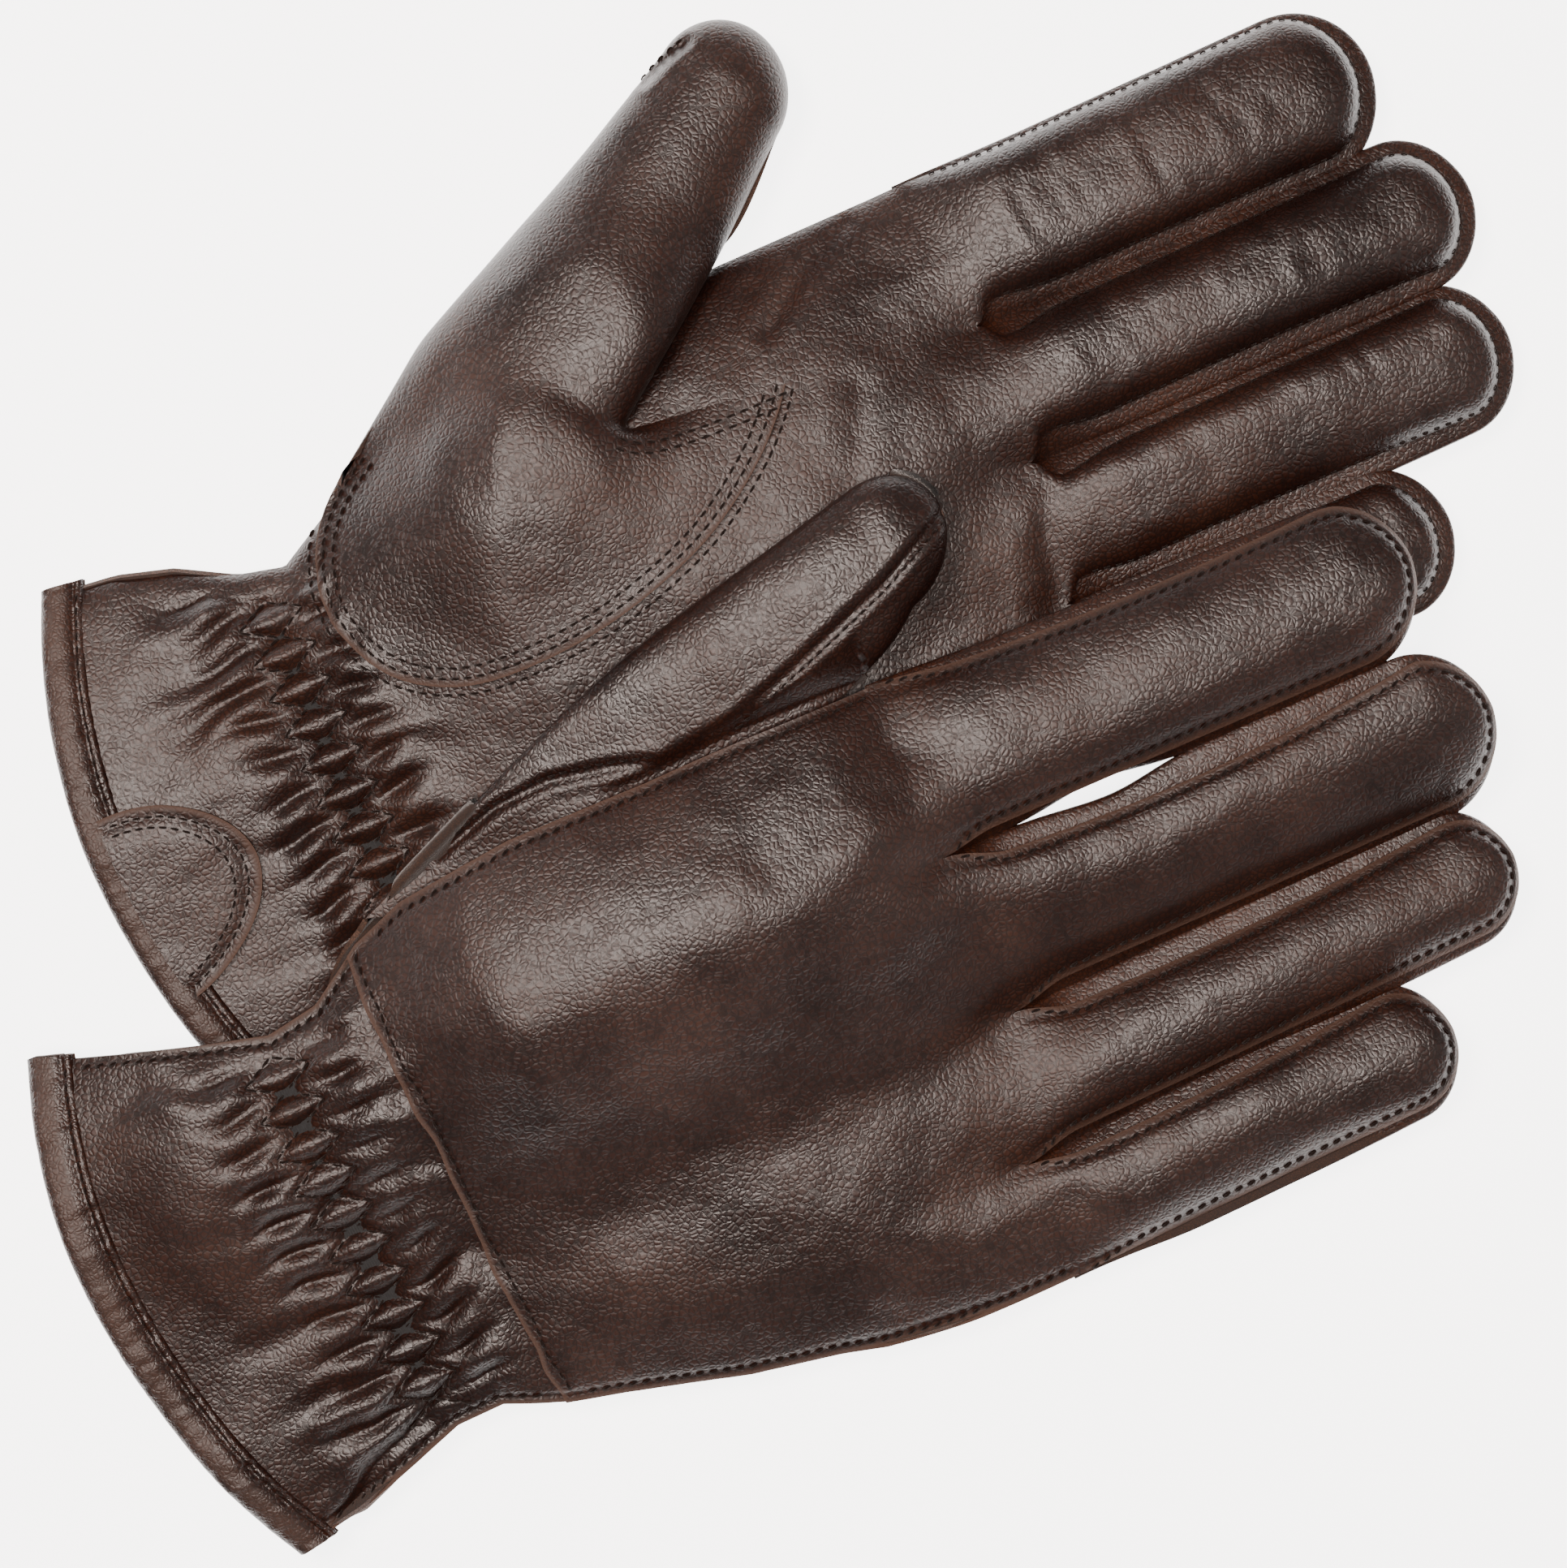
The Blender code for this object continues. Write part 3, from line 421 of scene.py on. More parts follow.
# ------------------------------------------------------------------ skins
class Skin:
    """A leather skin of welded grids, which is thickened and split into pieces by group."""

    def __init__(self):
        self.points = np.zeros((0, 3))
        self.wear = np.zeros(0)
        self.quads = []
        self.groups = []

    def add(self, u, v, z, group, flip=False, wear=0.0):
        """Adds a grid of points and returns the grid of their indices."""
        first = len(self.points)
        u, v, z = np.broadcast_arrays(u, v, z)
        self.points = np.concatenate([self.points, np.stack([u, v, z], -1).reshape(-1, 3)])
        self.wear = np.concatenate([self.wear, np.broadcast_to(wear, u.shape).reshape(-1)])
        index = first + np.arange(u.size).reshape(u.shape)
        a, b, c, d = index[:-1, :-1], index[1:, :-1], index[1:, 1:], index[:-1, 1:]
        order = (a, d, c, b) if flip else (a, b, c, d)
        self.quads.append(np.stack(order, -1).reshape(-1, 4))
        self.groups += [group] * (a.size)
        return index

    def weld(self, keep, drop):
        """Makes the quads that use the drop points use the keep points."""
        swap = np.arange(len(self.points))
        swap[np.ravel(drop)] = np.ravel(keep)
        self.quads = [swap[q] for q in self.quads]

    def normals(self):
        """Unit normal at every point."""
        quads = np.concatenate(self.quads)
        p = self.points[quads]
        face = np.cross(p[:, 2] - p[:, 0], p[:, 3] - p[:, 1])
        total = np.zeros_like(self.points)
        for k in range(4):
            np.add.at(total, quads[:, k], face)
        return total / np.maximum(np.linalg.norm(total, axis=1, keepdims=True), 1e-9)

    def tree(self):
        """A search tree of the outer face, in millimetres."""
        return BVHTree.FromPolygons(self.points.tolist(), np.concatenate(self.quads).tolist())

    def build(self, names, materials, thickness=LEATHER):
        """One object for each group; names maps group to object name."""
        quads = np.concatenate(self.quads)
        groups = np.array(self.groups)
        normal = self.normals()
        count = len(self.points)
        points = np.concatenate([self.points, self.points - normal * thickness])
        both = np.concatenate([normal, -normal])
        edges = np.stack([quads, np.roll(quads, -1, axis=1)], -1).reshape(-1, 2)
        owner = np.repeat(groups, 4)
        key = np.sort(edges, axis=1)
        _, inverse, uses = np.unique(key, axis=0, return_inverse=True, return_counts=True)
        open_edge = (uses[inverse.ravel()] == 1) & (edges[:, 0] != edges[:, 1])
        made = {}
        for group, name in names.items():
            outer = quads[groups == group]
            inner = outer[:, ::-1] + count
            rim = edges[open_edge & (owner == group)]
            rims = np.stack([rim[:, 1], rim[:, 0], rim[:, 0] + count, rim[:, 1] + count], -1)
            faces = np.concatenate([outer, inner, rims])
            kinds = np.repeat([0, 2, 1], [len(outer), len(inner), len(rims)])
            used, local = np.unique(faces, return_inverse=True)
            local = local.reshape(faces.shape)
            flat = points[used]
            side = np.cross(points[faces[:, 2]] - points[faces[:, 0]],
                            points[faces[:, 3]] - points[faces[:, 1]])
            side /= np.maximum(np.linalg.norm(side, axis=1, keepdims=True), 1e-9)
            wide = np.where((kinds == 1)[:, None, None], side[:, None, :], both[faces])
            wear = np.tile(self.wear, 2)[used]
            made[group] = mesh_object(name, flat, local, kinds, wide, materials, wear)
        return made


def add_object(name, data):
    """A new object in the scene."""
    made = bpy.data.objects.new(name, data)
    bpy.context.scene.collection.objects.link(made)
    return made


def mesh_object(name, points, faces, kinds, loop_normals, materials, wear):
    """A mesh object from millimetre points; three-sided faces repeat a corner."""
    place = np.column_stack([points[:, 0] - CENTRE[0], points[:, 1] - CENTRE[1], points[:, 2]]) * MM
    clean, kept, normals = [], [], []
    for face, kind, corner in zip(faces.tolist(), kinds.tolist(), loop_normals):
        order = [k for k in range(4) if face[k] != face[k - 1]]
        if len(order) < 3:
            continue
        clean.append([face[k] for k in order])
        kept.append(kind)
        normals.extend(corner[order].tolist())
    mesh = bpy.data.meshes.new(name)
    mesh.from_pydata(place.tolist(), [], clean)
    for material in materials:
        mesh.materials.append(material)
    mesh.polygons.foreach_set("material_index", kept)
    mesh.polygons.foreach_set("use_smooth", [True] * len(clean))
    mesh.attributes.new("wear", "FLOAT", "POINT").data.foreach_set("value", wear)
    mesh.normals_split_custom_set(normals)
    return add_object(name, mesh)


def settle(made, glove, digit, nodes):
    """Attaches a piece to the hand's body when its digit has no body of its own, else bakes its
    transform where it stands, and hides the model parts it stands for.
    """
    parent, child = glove.body(), glove.body(digit)
    if child == parent:
        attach(made, parent)
    else:
        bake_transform(made)
    if nodes:
        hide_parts(*nodes)


# ------------------------------------------------------------------ relief of the leather
ZIGZAG_PITCH = 6.5
ZIGZAG_ROWS = ((31.5, 1.0), (37.5, -1.0))
ZIGZAG_SWING = 2.9


def tooth(v):
    """A zigzag between -1 and 1, one tooth every pitch."""
    return 2.0 * np.abs(2.0 * ((v / ZIGZAG_PITCH) % 1.0) - 1.0) - 1.0


def gathers(glove, u, v):
    """Puffs and folds where the elastic draws the wrist in."""
    low, high = glove.sides(u)
    inside = smooth((v - low - 3.0) / 5.0) * smooth((high - v - 3.0) / 5.0)
    rho = u - glove.hem
    drift = 1.9 * noise(u / 9.0, v / 15.0, 3) * (1.0 - hump(rho, 34.5, 7.0))
    wave = np.cos(2.0 * math.pi * (v + drift) / ZIGZAG_PITCH)
    sharp = 1.0 - 2.0 * np.abs(np.sin(math.pi * (v + drift) / ZIGZAG_PITCH))
    puffs = -1.0 * wave * hump(rho, 34.5, 3.4)
    folds = -1.35 * sharp * hump(rho, 25.0, 4.8) - 1.15 * sharp * hump(rho, 44.0, 4.6)
    wide = noise(v / 4.2 + 0.3 * drift, rho / 26.0, 6)
    folds = folds + 1.3 * wide * hump(rho, 17.0, 8.0) + 0.7 * wide * hump(rho, 50.0, 5.0)
    total = inside * (puffs + folds) * (0.8 + 0.4 * noise(u / 6.0, v / 9.0, 5))
    for place, way in ZIGZAG_ROWS:
        gap = np.abs(rho - place - way * ZIGZAG_SWING * tooth(v)) * 0.75
        total = total - 0.9 * inside * hump(gap, 0.0, 0.8)
    return total


def relief(glove, upper, u, v):
    """Height of the leather's folds and wrinkles over its plain shape."""
    soft = 0.4 * noise(u / 17.0, v / 14.0, 1) + 0.18 * noise(u / 6.0 + 7.0, v / 5.0, 2)
    soft = soft + 0.06 * noise(u / 2.3, v / 2.6, 4)
    if not upper:
        return soft
    soft = soft + gathers(glove, u, v)
    return soft + (palm_folds(u, v) if glove.palm_up else knuckles(u, v))


def knuckles(u, v):
    """The raised back of the hand over the knuckles, with faint folds beside it."""
    tuck = crease(u, v, ((-118.0, -84.0), (-108.0, -76.0), (-99.0, -74.0)), 1.1, 1.6)
    raised = 1.5 * hump(np.hypot((u + 4.0) / 1.2, v + 30.0), 0.0, 22.0)
    fold = crease(u, v, ((20.0, -2.0), (8.0, -9.0), (-6.0, -12.0)), 0.5, 3.5)
    fold = fold + crease(u, v, ((16.0, -36.0), (2.0, -38.0), (-10.0, -34.0)), 0.4, 4.0)
    return raised + fold + tuck


def crease(u, v, points, depth, width):
    """A pressed line in the leather with a soft swelling beside it."""
    distance = line_distance(u, v, points)
    return -depth * hump(distance, 0.0, width) + 0.3 * depth * hump(distance, 2.6 * width, width)


def palm_folds(u, v):
    """The creases of the palm and the fine cross wrinkles of its fingers."""
    total = crease(u, v, ((56.0, 9.0), (58.5, 14.0), (59.0, 20.0), (63.0, 28.0)), 0.6, 2.4)
    total = total + crease(u, v, ((30.0, 72.0), (38.0, 78.0), (50.0, 84.0)), 0.5, 1.4)
    total = total + crease(u, v, ((24.0, 30.0), (34.0, 44.0), (40.0, 57.0)), 0.3, 2.0)
    bend = v + 3.0 * noise(u / 11.0, v / 7.0, 8)
    fine = noise(u / 2.1 + 0.08 * bend, v / 9.0, 9)
    return total + 0.16 * fine * smooth((u - 62.0) / 12.0) * (1.0 - smooth((u - 118.0) / 12.0))


def edge_relief(glove, upper, distance):
    """Height lost near a seam, from the distance to it: pressed by stitches or rolled under."""
    if glove.palm_up and upper:
        return -1.3 * np.exp(-distance / 1.1)
    if upper:
        return -0.42 * hump(distance, 1.5, 0.55) - 0.1 * hump(distance, 0.0, 0.8)
    return 0.9 * np.exp(-distance / 1.1)


def face_height(glove, upper, u, v):
    """Height of a hand's leather with its folds."""
    plain = glove.top(u, v) if upper else glove.bottom(u, v)
    return plain + relief(glove, upper, u, v) * (1.0 if upper else UNDER_RELIEF)


def raw(distance):
    """Wear attribute of a cut edge, from the distance to it."""
    return np.clip(1.3 - distance / 0.75, 0.0, 1.0)


def glove_face(glove, upper, first, rows, columns, finger_rows):
    """One face of a glove: the hand, with its fingers joined on along the crotches."""
    skin = Skin()
    q = np.linspace(0.0, 1.0, 4 * columns + 1)
    rho, q = np.broadcast_arrays(lerp(first(q), glove.knuckle, np.linspace(0, 1, rows)[:, None]), q)
    u, v = glove.plan(rho, q)
    edge = glove.edge_distance(u, v)
    z = face_height(glove, upper, u, v) + edge_relief(glove, upper, edge)
    worn = raw(edge) if upper and not glove.palm_up else 0.0
    if upper and not glove.palm_up:
        worn = np.maximum(worn, raw(rho - rho[0]))
    hand = skin.add(u, v, z, "hand", flip=not upper, wear=worn)
    for k, finger in enumerate(glove.fingers):
        s, t = np.meshgrid(np.linspace(0, 1, finger_rows), np.linspace(-1, 1, columns + 1),
                           indexing="ij")
        x = finger.row(s, t, glove.insets[2])
        u, v = finger.plan(x, t, glove.insets)
        radius = finger.half_tip - glove.insets[2]
        past = clamp((x - finger.length + glove.insets[2] + radius) / radius)
        edge = (1.0 - np.sqrt(past ** 2 + t ** 2 * (1.0 - past ** 2))) * radius
        opening = smooth((x - finger.start(t)) / 5.0)
        z = glove.finger_height(finger, x, t, u, v, upper, glove.insets)
        z = z + relief(glove, upper, u, v) * (1.0 if upper else UNDER_RELIEF)
        z = z + edge_relief(glove, upper, edge) * opening
        worn = raw(edge) * opening if upper and not glove.palm_up else 0.0
        grid = skin.add(u, v, z, finger.name, flip=not upper, wear=worn)
        skin.weld(hand[-1, k * columns:(k + 1) * columns + 1], grid[0])
        skin.weld(np.full(columns, grid[-1, 0]), grid[-1, 1:])
    return skin


# ------------------------------------------------------------------ stitches
class Thread:
    """Many small stitches, gathered into one mesh."""

    SIDES = 6
    STATIONS = ((-0.8, 0.75, 0.12), (0.0, 1.0, 0.22), (0.8, 0.75, 0.12))

    def __init__(self):
        self.points = []
        self.faces = []

    def stitch(self, centre, direction, normal, length, radius):
        """One stitch lying on the leather with its ends pulled in."""
        across = normal.cross(direction).normalized()
        first = len(self.points)
        self.points.append(centre - direction * length / 2.0 - normal * 0.2)
        for reach, size, height in self.STATIONS:
            middle = centre + direction * reach * length / 2.0 + normal * height
            for k in range(self.SIDES):
                angle = 2.0 * math.pi * k / self.SIDES
                turn = across * math.cos(angle) + normal * math.sin(angle)
                self.points.append(middle + turn * radius * size)
        self.points.append(centre + direction * length / 2.0 - normal * 0.2)
        last = len(self.points) - 1
        for k in range(self.SIDES):
            nxt = (k + 1) % self.SIDES
            self.faces.append((first, first + 1 + nxt, first + 1 + k))
            for ring in range(len(self.STATIONS) - 1):
                a = first + 1 + ring * self.SIDES
                b = a + self.SIDES
                self.faces.append((a + k, a + nxt, b + nxt, b + k))
            a = last - self.SIDES
            self.faces.append((a + k, a + nxt, last))

    def row(self, path, tree, pitch=2.3, length=1.75, radius=0.27, slant=0.0, up=True):
        """Stitches along a plan path, dropped on to the leather."""
        path = np.array(path, float)
        total = np.hypot(*np.diff(path[:, :2], axis=0).T).sum()
        count = max(2, int(total / pitch))
        middles = along(path, (np.arange(count) + 0.5) / count)
        ahead = along(path, np.clip((np.arange(count) + 0.75) / count, 0, 1)) - middles
        way = Vector((0.0, 0.0, -1.0 if up else 1.0))
        for (u, v), (du, dv) in zip(middles[:, :2], ahead[:, :2]):
            point, normal, _, _ = tree.ray_cast(Vector((u, v, 60.0 if up else -20.0)), way)
            if point is None:
                continue
            if normal.z * way.z > 0.0:
                normal = -normal
            direction = Vector((du, dv, 0.0))
            direction = (direction - normal * direction.dot(normal)).normalized()
            side = normal.cross(direction)
            direction = (direction * math.cos(slant) + side * math.sin(slant)).normalized()
            self.stitch(point, direction, normal, length, radius)

    def build(self, name, material):
        """The gathered stitches as one object."""
        mesh = bpy.data.meshes.new(name)
        shift = Vector((CENTRE[0], CENTRE[1], 0.0))
        mesh.from_pydata([(p - shift) * MM for p in self.points], [], self.faces)
        mesh.materials.append(material)
        mesh.polygons.foreach_set("use_smooth", [True] * len(self.faces))
        return add_object(name, mesh)


def finger_path(finger, inset, tip_inset, begin=3.0):
    """Plan path that follows a finger's edge at an inset, from crotch to crotch."""
    insets = (inset, inset, tip_inset)
    s = np.linspace(0.0, 1.0, 60)
    sides = []
    for t in (-1.0, 1.0):
        x = finger.row(s, t, tip_inset)
        x = np.maximum(x, finger.start(t) + begin)
        sides.append(np.column_stack(finger.plan(x, t, insets)))
    return np.concatenate([sides[0], sides[1][::-1]])


def hand_edge_path(glove, side, first, last, inset):
    """Plan path inside one edge of the hand."""
    rho = np.linspace(first, last, 60)
    u, v = glove.plan(rho, np.full(60, 0.0 if side < 0 else 1.0))
    return np.column_stack([u, v - side * inset])


# ------------------------------------------------------------------ materials
def node(tree, kind, **values):
    """A shader node with its inputs set by name."""
    made = tree.nodes.new(kind)
    for key, value in values.items():
        if key in made.inputs:
            made.inputs[key].default_value = value
        else:
            setattr(made, key, value)
    return made


def ramp(tree, source, stops):
    """A colour ramp fed from a socket."""
    made = tree.nodes.new("ShaderNodeValToRGB")
    made.color_ramp.elements[0].position = stops[0][0]
    made.color_ramp.elements[0].color = stops[0][1]
    made.color_ramp.elements[1].position = stops[-1][0]
    made.color_ramp.elements[1].color = stops[-1][1]
    for position, colour in stops[1:-1]:
        made.color_ramp.elements.new(position).color = colour
    tree.links.new(source, made.inputs["Fac"])
    return made.outputs["Color"]


def mix(tree, blend, factor, a, b):
    """A colour mix; each of factor, a and b is a socket or a value."""
    made = tree.nodes.new("ShaderNodeMix")
    made.data_type = "RGBA"
    made.blend_type = blend
    for socket, value in ((made.inputs[0], factor), (made.inputs[6], a), (made.inputs[7], b)):
        if isinstance(value, bpy.types.NodeSocket):
            tree.links.new(value, socket)
        else:
            socket.default_value = value
    return made.outputs[2]


def grey(value):
    """An opaque grey."""
    return (value, value, value, 1.0)


def new_material(name):
    """A material, with its node tree, its shader and its object coordinates."""
    made = bpy.data.materials.new(name)
    made.use_nodes = True
    tree = made.node_tree
    place = tree.nodes.new("ShaderNodeTexCoord").outputs["Object"]
    return made, tree, tree.nodes["Principled BSDF"], place


def assign(shader, values):
    """Sets inputs of a shader by name."""
    for key, value in values.items():
        shader.inputs[key].default_value = value


def roughen(tree, shader, height, strength, distance):
    """Bumps a shader by a height."""
    made = node(tree, "ShaderNodeBump", Strength=strength, Distance=distance)
    tree.links.new(height, made.inputs["Height"])
    tree.links.new(made.outputs["Normal"], shader.inputs["Normal"])


def leather(name, dark, middle, light, edge, grain=1.0, bump=0.35, rough=0.43, sheen=0.0):
    """Pebbled leather with colour drift, painted shade in the grain's crevices and lighter worn edges.
    """
    made, tree, shader, place = new_material(name)
    wobble = node(tree, "ShaderNodeTexNoise", Scale=420.0, Detail=2.0)
    tree.links.new(place, wobble.inputs["Vector"])
    shift = node(tree, "ShaderNodeVectorMath", operation="SCALE")
    shift.inputs["Scale"].default_value = 0.0011
    tree.links.new(wobble.outputs["Color"], shift.inputs[0])
    moved = node(tree, "ShaderNodeVectorMath", operation="ADD")
    tree.links.new(place, moved.inputs[0])
    tree.links.new(shift.outputs[0], moved.inputs[1])

    cells = node(tree, "ShaderNodeTexVoronoi", feature="DISTANCE_TO_EDGE", Scale=1000.0 / grain)
    small = node(tree, "ShaderNodeTexVoronoi", feature="F1", Scale=2300.0 / grain)
    broad = node(tree, "ShaderNodeTexNoise", Scale=38.0, Detail=4.0, Roughness=0.6)
    fine = node(tree, "ShaderNodeTexNoise", Scale=2600.0, Detail=2.0)
    for texture in (cells, small, broad, fine):
        tree.links.new(moved.outputs[0], texture.inputs["Vector"])

    drift = ramp(tree, broad.outputs["Fac"], ((0.3, dark), (0.5, middle), (0.72, light)))
    # Painted shade: the grain's crevices are darkened and its cell tops lightened a little, standing
    # in for light falling on the pebbles.
    crevice_shade = ramp(tree, cells.outputs["Distance"], ((0.0, grey(0.3)), (0.2, grey(1.15))))
    colour = mix(tree, "MULTIPLY", 0.9, drift, crevice_shade)
    worn = node(tree, "ShaderNodeAttribute", attribute_name="wear").outputs["Fac"]
    colour = mix(tree, "MIX", worn, colour, edge)
    tree.links.new(colour, shader.inputs["Base Color"])

    gloss = ramp(tree, broad.outputs["Fac"], ((0.3, grey(rough - 0.06)), (0.7, grey(rough + 0.08))))
    gloss = mix(tree, "MIX", worn, gloss, grey(0.8))
    tree.links.new(gloss, shader.inputs["Roughness"])

    pebble = ramp(tree, cells.outputs["Distance"], ((0.0, grey(0.0)), (0.3, grey(1.0))))
    height = mix(tree, "MIX", 0.15, pebble, small.outputs["Distance"])
    height = mix(tree, "MIX", 0.08, height, fine.outputs["Fac"])
    roughen(tree, shader, height, bump, 0.00022)
    assign(shader, {"Sheen Weight": sheen, "Sheen Roughness": 0.5, "Specular IOR Level": 0.5})
    return made


def woven(name, colour, pale, scale, sheen=0.3):
    """A fine knitted cloth."""
    made, tree, shader, place = new_material(name)
    ribs = node(tree, "ShaderNodeTexWave", Scale=scale, Distortion=0.6)
    soft = node(tree, "ShaderNodeTexNoise", Scale=scale * 2.0, Detail=3.0)
    for texture in (ribs, soft):
        tree.links.new(place, texture.inputs["Vector"])
    mixed = mix(tree, "MIX", soft.outputs["Fac"], colour, pale)
    tree.links.new(mixed, shader.inputs["Base Color"])
    roughen(tree, shader, ribs.outputs["Fac"], 0.5, 0.0002)
    assign(shader, {"Roughness": 0.85, "Specular IOR Level": sheen, "Sheen Weight": sheen})
    return made


def rgb(red, green, blue):
    """A linear colour from screen values 0 to 255."""
    return tuple((c / 255.0) ** 2.2 for c in (red, green, blue)) + (1.0,)


EDGE = rgb(66, 46, 36)
BROWN = leather("brown_leather", rgb(28, 12, 6), rgb(38, 18, 9), rgb(49, 26, 14), EDGE)
STRIP = leather("strip_leather", rgb(34, 16, 7), rgb(46, 23, 11), rgb(58, 31, 16), EDGE, grain=0.9)
BINDING = leather("binding_leather", rgb(29, 13, 7), rgb(40, 20, 11), rgb(51, 28, 16), EDGE,
                  grain=0.8, rough=0.38)
CUT = leather("cut_edge", rgb(54, 36, 27), rgb(66, 46, 36), rgb(76, 55, 44), EDGE, grain=0.5,
              rough=0.8)
SUEDE = leather("flesh_side", rgb(38, 24, 17), rgb(48, 31, 22), rgb(56, 38, 28), EDGE, grain=0.4,
                bump=0.3, rough=0.9, sheen=0.3)
THREAD = woven("thread", rgb(20, 12, 9), rgb(34, 22, 17), 3000.0, sheen=0.08)
LINING = woven("lining_cloth", rgb(34, 28, 25), rgb(52, 45, 41), 900.0, sheen=0.1)
ELASTIC = woven("elastic_band", rgb(24, 24, 25), rgb(44, 44, 45), 700.0)
LEATHERS = (BROWN, CUT, SUEDE)


# ------------------------------------------------------------------ pieces
def wavy(v):
    """The hand-cut wave of the wrist seam."""
    return -77.0 + 1.5 * noise(v / 21.0, 0.4, 11) + 0.8 * noise(v / 6.0, 3.0, 12)


def faces(glove):
    """Both faces of a glove; returns the upper skin."""
    upper_name, lower_name = ("palm", "back") if glove.palm_up else ("back", "palm")

    def first_upper(q):
        if glove.palm_up:
            return np.full(q.shape, glove.hem)
        return wavy(lerp(-80.0, 8.0, q))

    def first_lower(q):
        return np.full(q.shape, glove.hem)

    upper = glove_face(glove, True, first_upper, 190, 34, 120)
    lower = glove_face(glove, False, first_lower, 90, 14, 50)
    for skin, face in ((upper, upper_name), (lower, lower_name)):
        names = {"hand": f"{glove.side}_hand_{face}"}
        names.update({f.name: f"{glove.side}_{f.name}_finger_{face}" for f in glove.fingers})
        for group, made in skin.build(names, LEATHERS).items():
            nodes = [f"{glove.side}_{group}_{face}"]
            if group == "hand":
                nodes = [f"{glove.side}_{face}_panel"]
                if face == "back" and glove.palm_up:
                    nodes.append(f"{glove.side}_cuff_back")
            settle(made, glove, group, nodes)
    return upper


def cuff_back(glove):
    """The short piece of the back between the wrist seam and the hem."""
    skin = Skin()
    q = np.linspace(0.0, 1.0, 150)
    rho, q = np.meshgrid(np.linspace(glove.hem, -70.0, 96), q, indexing="ij")
    u, v = glove.plan(rho, q)
    edge = glove.edge_distance(u, v)
    under = 1.2 * smooth((u - wavy(v) + 5.0) / 5.0)
    z = face_height(glove, True, u, v) + edge_relief(glove, True, edge) - under
    skin.add(u, v, z, "hand", wear=raw(edge))
    made = skin.build({"hand": f"{glove.side}_cuff"}, LEATHERS)["hand"]
    settle(made, glove, "hand", [f"{glove.side}_cuff_back"])
    return skin


def strips(glove):
    """The narrow strips between the faces of each finger."""
    for finger in glove.fingers:
        for side in (-1, 1):
            skin = Skin()
            s, w = unit_grid(90, 11)
            seam = glove.insets[0] + (0.7 if glove.palm_up else 1.4)
            inset = seam - (seam - strip_swell(glove, finger, side, s)) * np.sin(math.pi * w) ** 0.8
            tip = glove.insets[2] + 0.8
            tip = tip - (tip - 0.4) * np.sin(math.pi * w) ** 0.7
            x = finger.row(s, float(side), tip)
            at_seam = np.stack(finger.plan(x, float(side), (seam, seam, tip)))
            at_fold = np.stack(finger.plan(x, float(side), (inset, inset, tip), inner=True))
            u, v = lerp(at_seam, at_fold, np.sin(math.pi * w) ** 0.6)
            place = (finger, x, float(side), u, v)
            top = glove.finger_height(*place, True, glove.insets) - LEATHER - 0.25
            bottom = glove.finger_height(*place, False, glove.insets) + LEATHER + 0.25
            if glove.palm_up:
                top = top - 0.7
            z = lerp(top, np.minimum(bottom, top - 0.2), w)
            z = z + 0.12 * noise(u / 3.0, z / 2.0, 21)
            skin.add(u, v, z, "strip", flip=side < 0)
            name = strip_name(glove, finger, side)
            made = skin.build({"strip": f"{name}_leather"}, (STRIP, CUT, SUEDE), 0.8)["strip"]
            nodes = [name] if name in frame["nodes"] else []
            settle(made, glove, finger.name, nodes)


def strip_swell(glove, finger, side, s):
    """How far a strip stays inside the finger's full width; below zero it bulges past it."""
    if finger.name == "index" and side > 0:
        return 0.3
    if glove.side == "right" and (finger.name, side) in (("middle", 1), ("index", -1)):
        return -1.2 * np.sin(math.pi * clamp(s + 0.04)) ** 0.6 + 1.6 * hump(s, 0.21, 0.07)
    return -1.6 * np.sin(math.pi * clamp(s + 0.1)) ** 0.5


def strip_name(glove, finger, side):
    """Name of the strip on one side of a finger."""
    if finger.name == "index" and side > 0:
        return f"{glove.side}_index_outer_strip"
    toward = "thumb" if side > 0 else "little"
    return f"{glove.side}_{finger.name}_{toward}_side_strip"


def offset(path, distance):
    """A plan path moved sideways, to its left when distance is positive."""
    ahead = np.gradient(path[:, :2], axis=0)
    ahead /= np.linalg.norm(ahead, axis=1, keepdims=True)
    return path[:, :2] + distance * np.column_stack([-ahead[:, 1], ahead[:, 0]])


def sew(thread, glove, name, digit="hand"):
    """Makes a piece of the stitches, attached to the hand's body unless its digit has a body of its
    own.
    """
    settle(thread.build(f"{glove.side}_{name}", THREAD), glove, digit, [])


def elastic_stitches(glove, skin):
    """The two zigzag rows over the wrist elastic."""
    thread = Thread()
    tree = skin.tree()
    low, high = (2.0, 66.0) if glove.palm_up else (-74.0, -3.0)
    for place, way in ZIGZAG_ROWS:
        v = np.arange(low, high, ZIGZAG_PITCH / 2.0)
        v = np.round(v / (ZIGZAG_PITCH / 2.0)) * ZIGZAG_PITCH / 2.0
        u = glove.hem + place + way * ZIGZAG_SWING * tooth(v + 1e-6)
        for a, b in zip(zip(u, v), zip(u[1:], v[1:])):
            thread.row((a, b), tree, pitch=2.2, length=2.0, radius=0.24)
    sew(thread, glove, "zigzag")


def hand_stitches(glove, hand, cuff):
    """Rows along both sides of the hand and the wrist seam of the back-up glove."""
    thread = Thread()
    for side in (-1, 1):
        path = hand_edge_path(glove, side, SEAM_START, glove.knuckle, ROW_INSET)
        thread.row(path, hand, slant=0.35)
        path = hand_edge_path(glove, side, glove.hem + 7.0, -79.0, ROW_INSET)
        thread.row(path, cuff, slant=0.35)
    v = np.linspace(-80.0, 4.0, 80)
    path = np.column_stack([wavy(v) + 1.7, v])
    thread.row(path, hand, pitch=2.2)
    sew(thread, glove, "side_stitches")


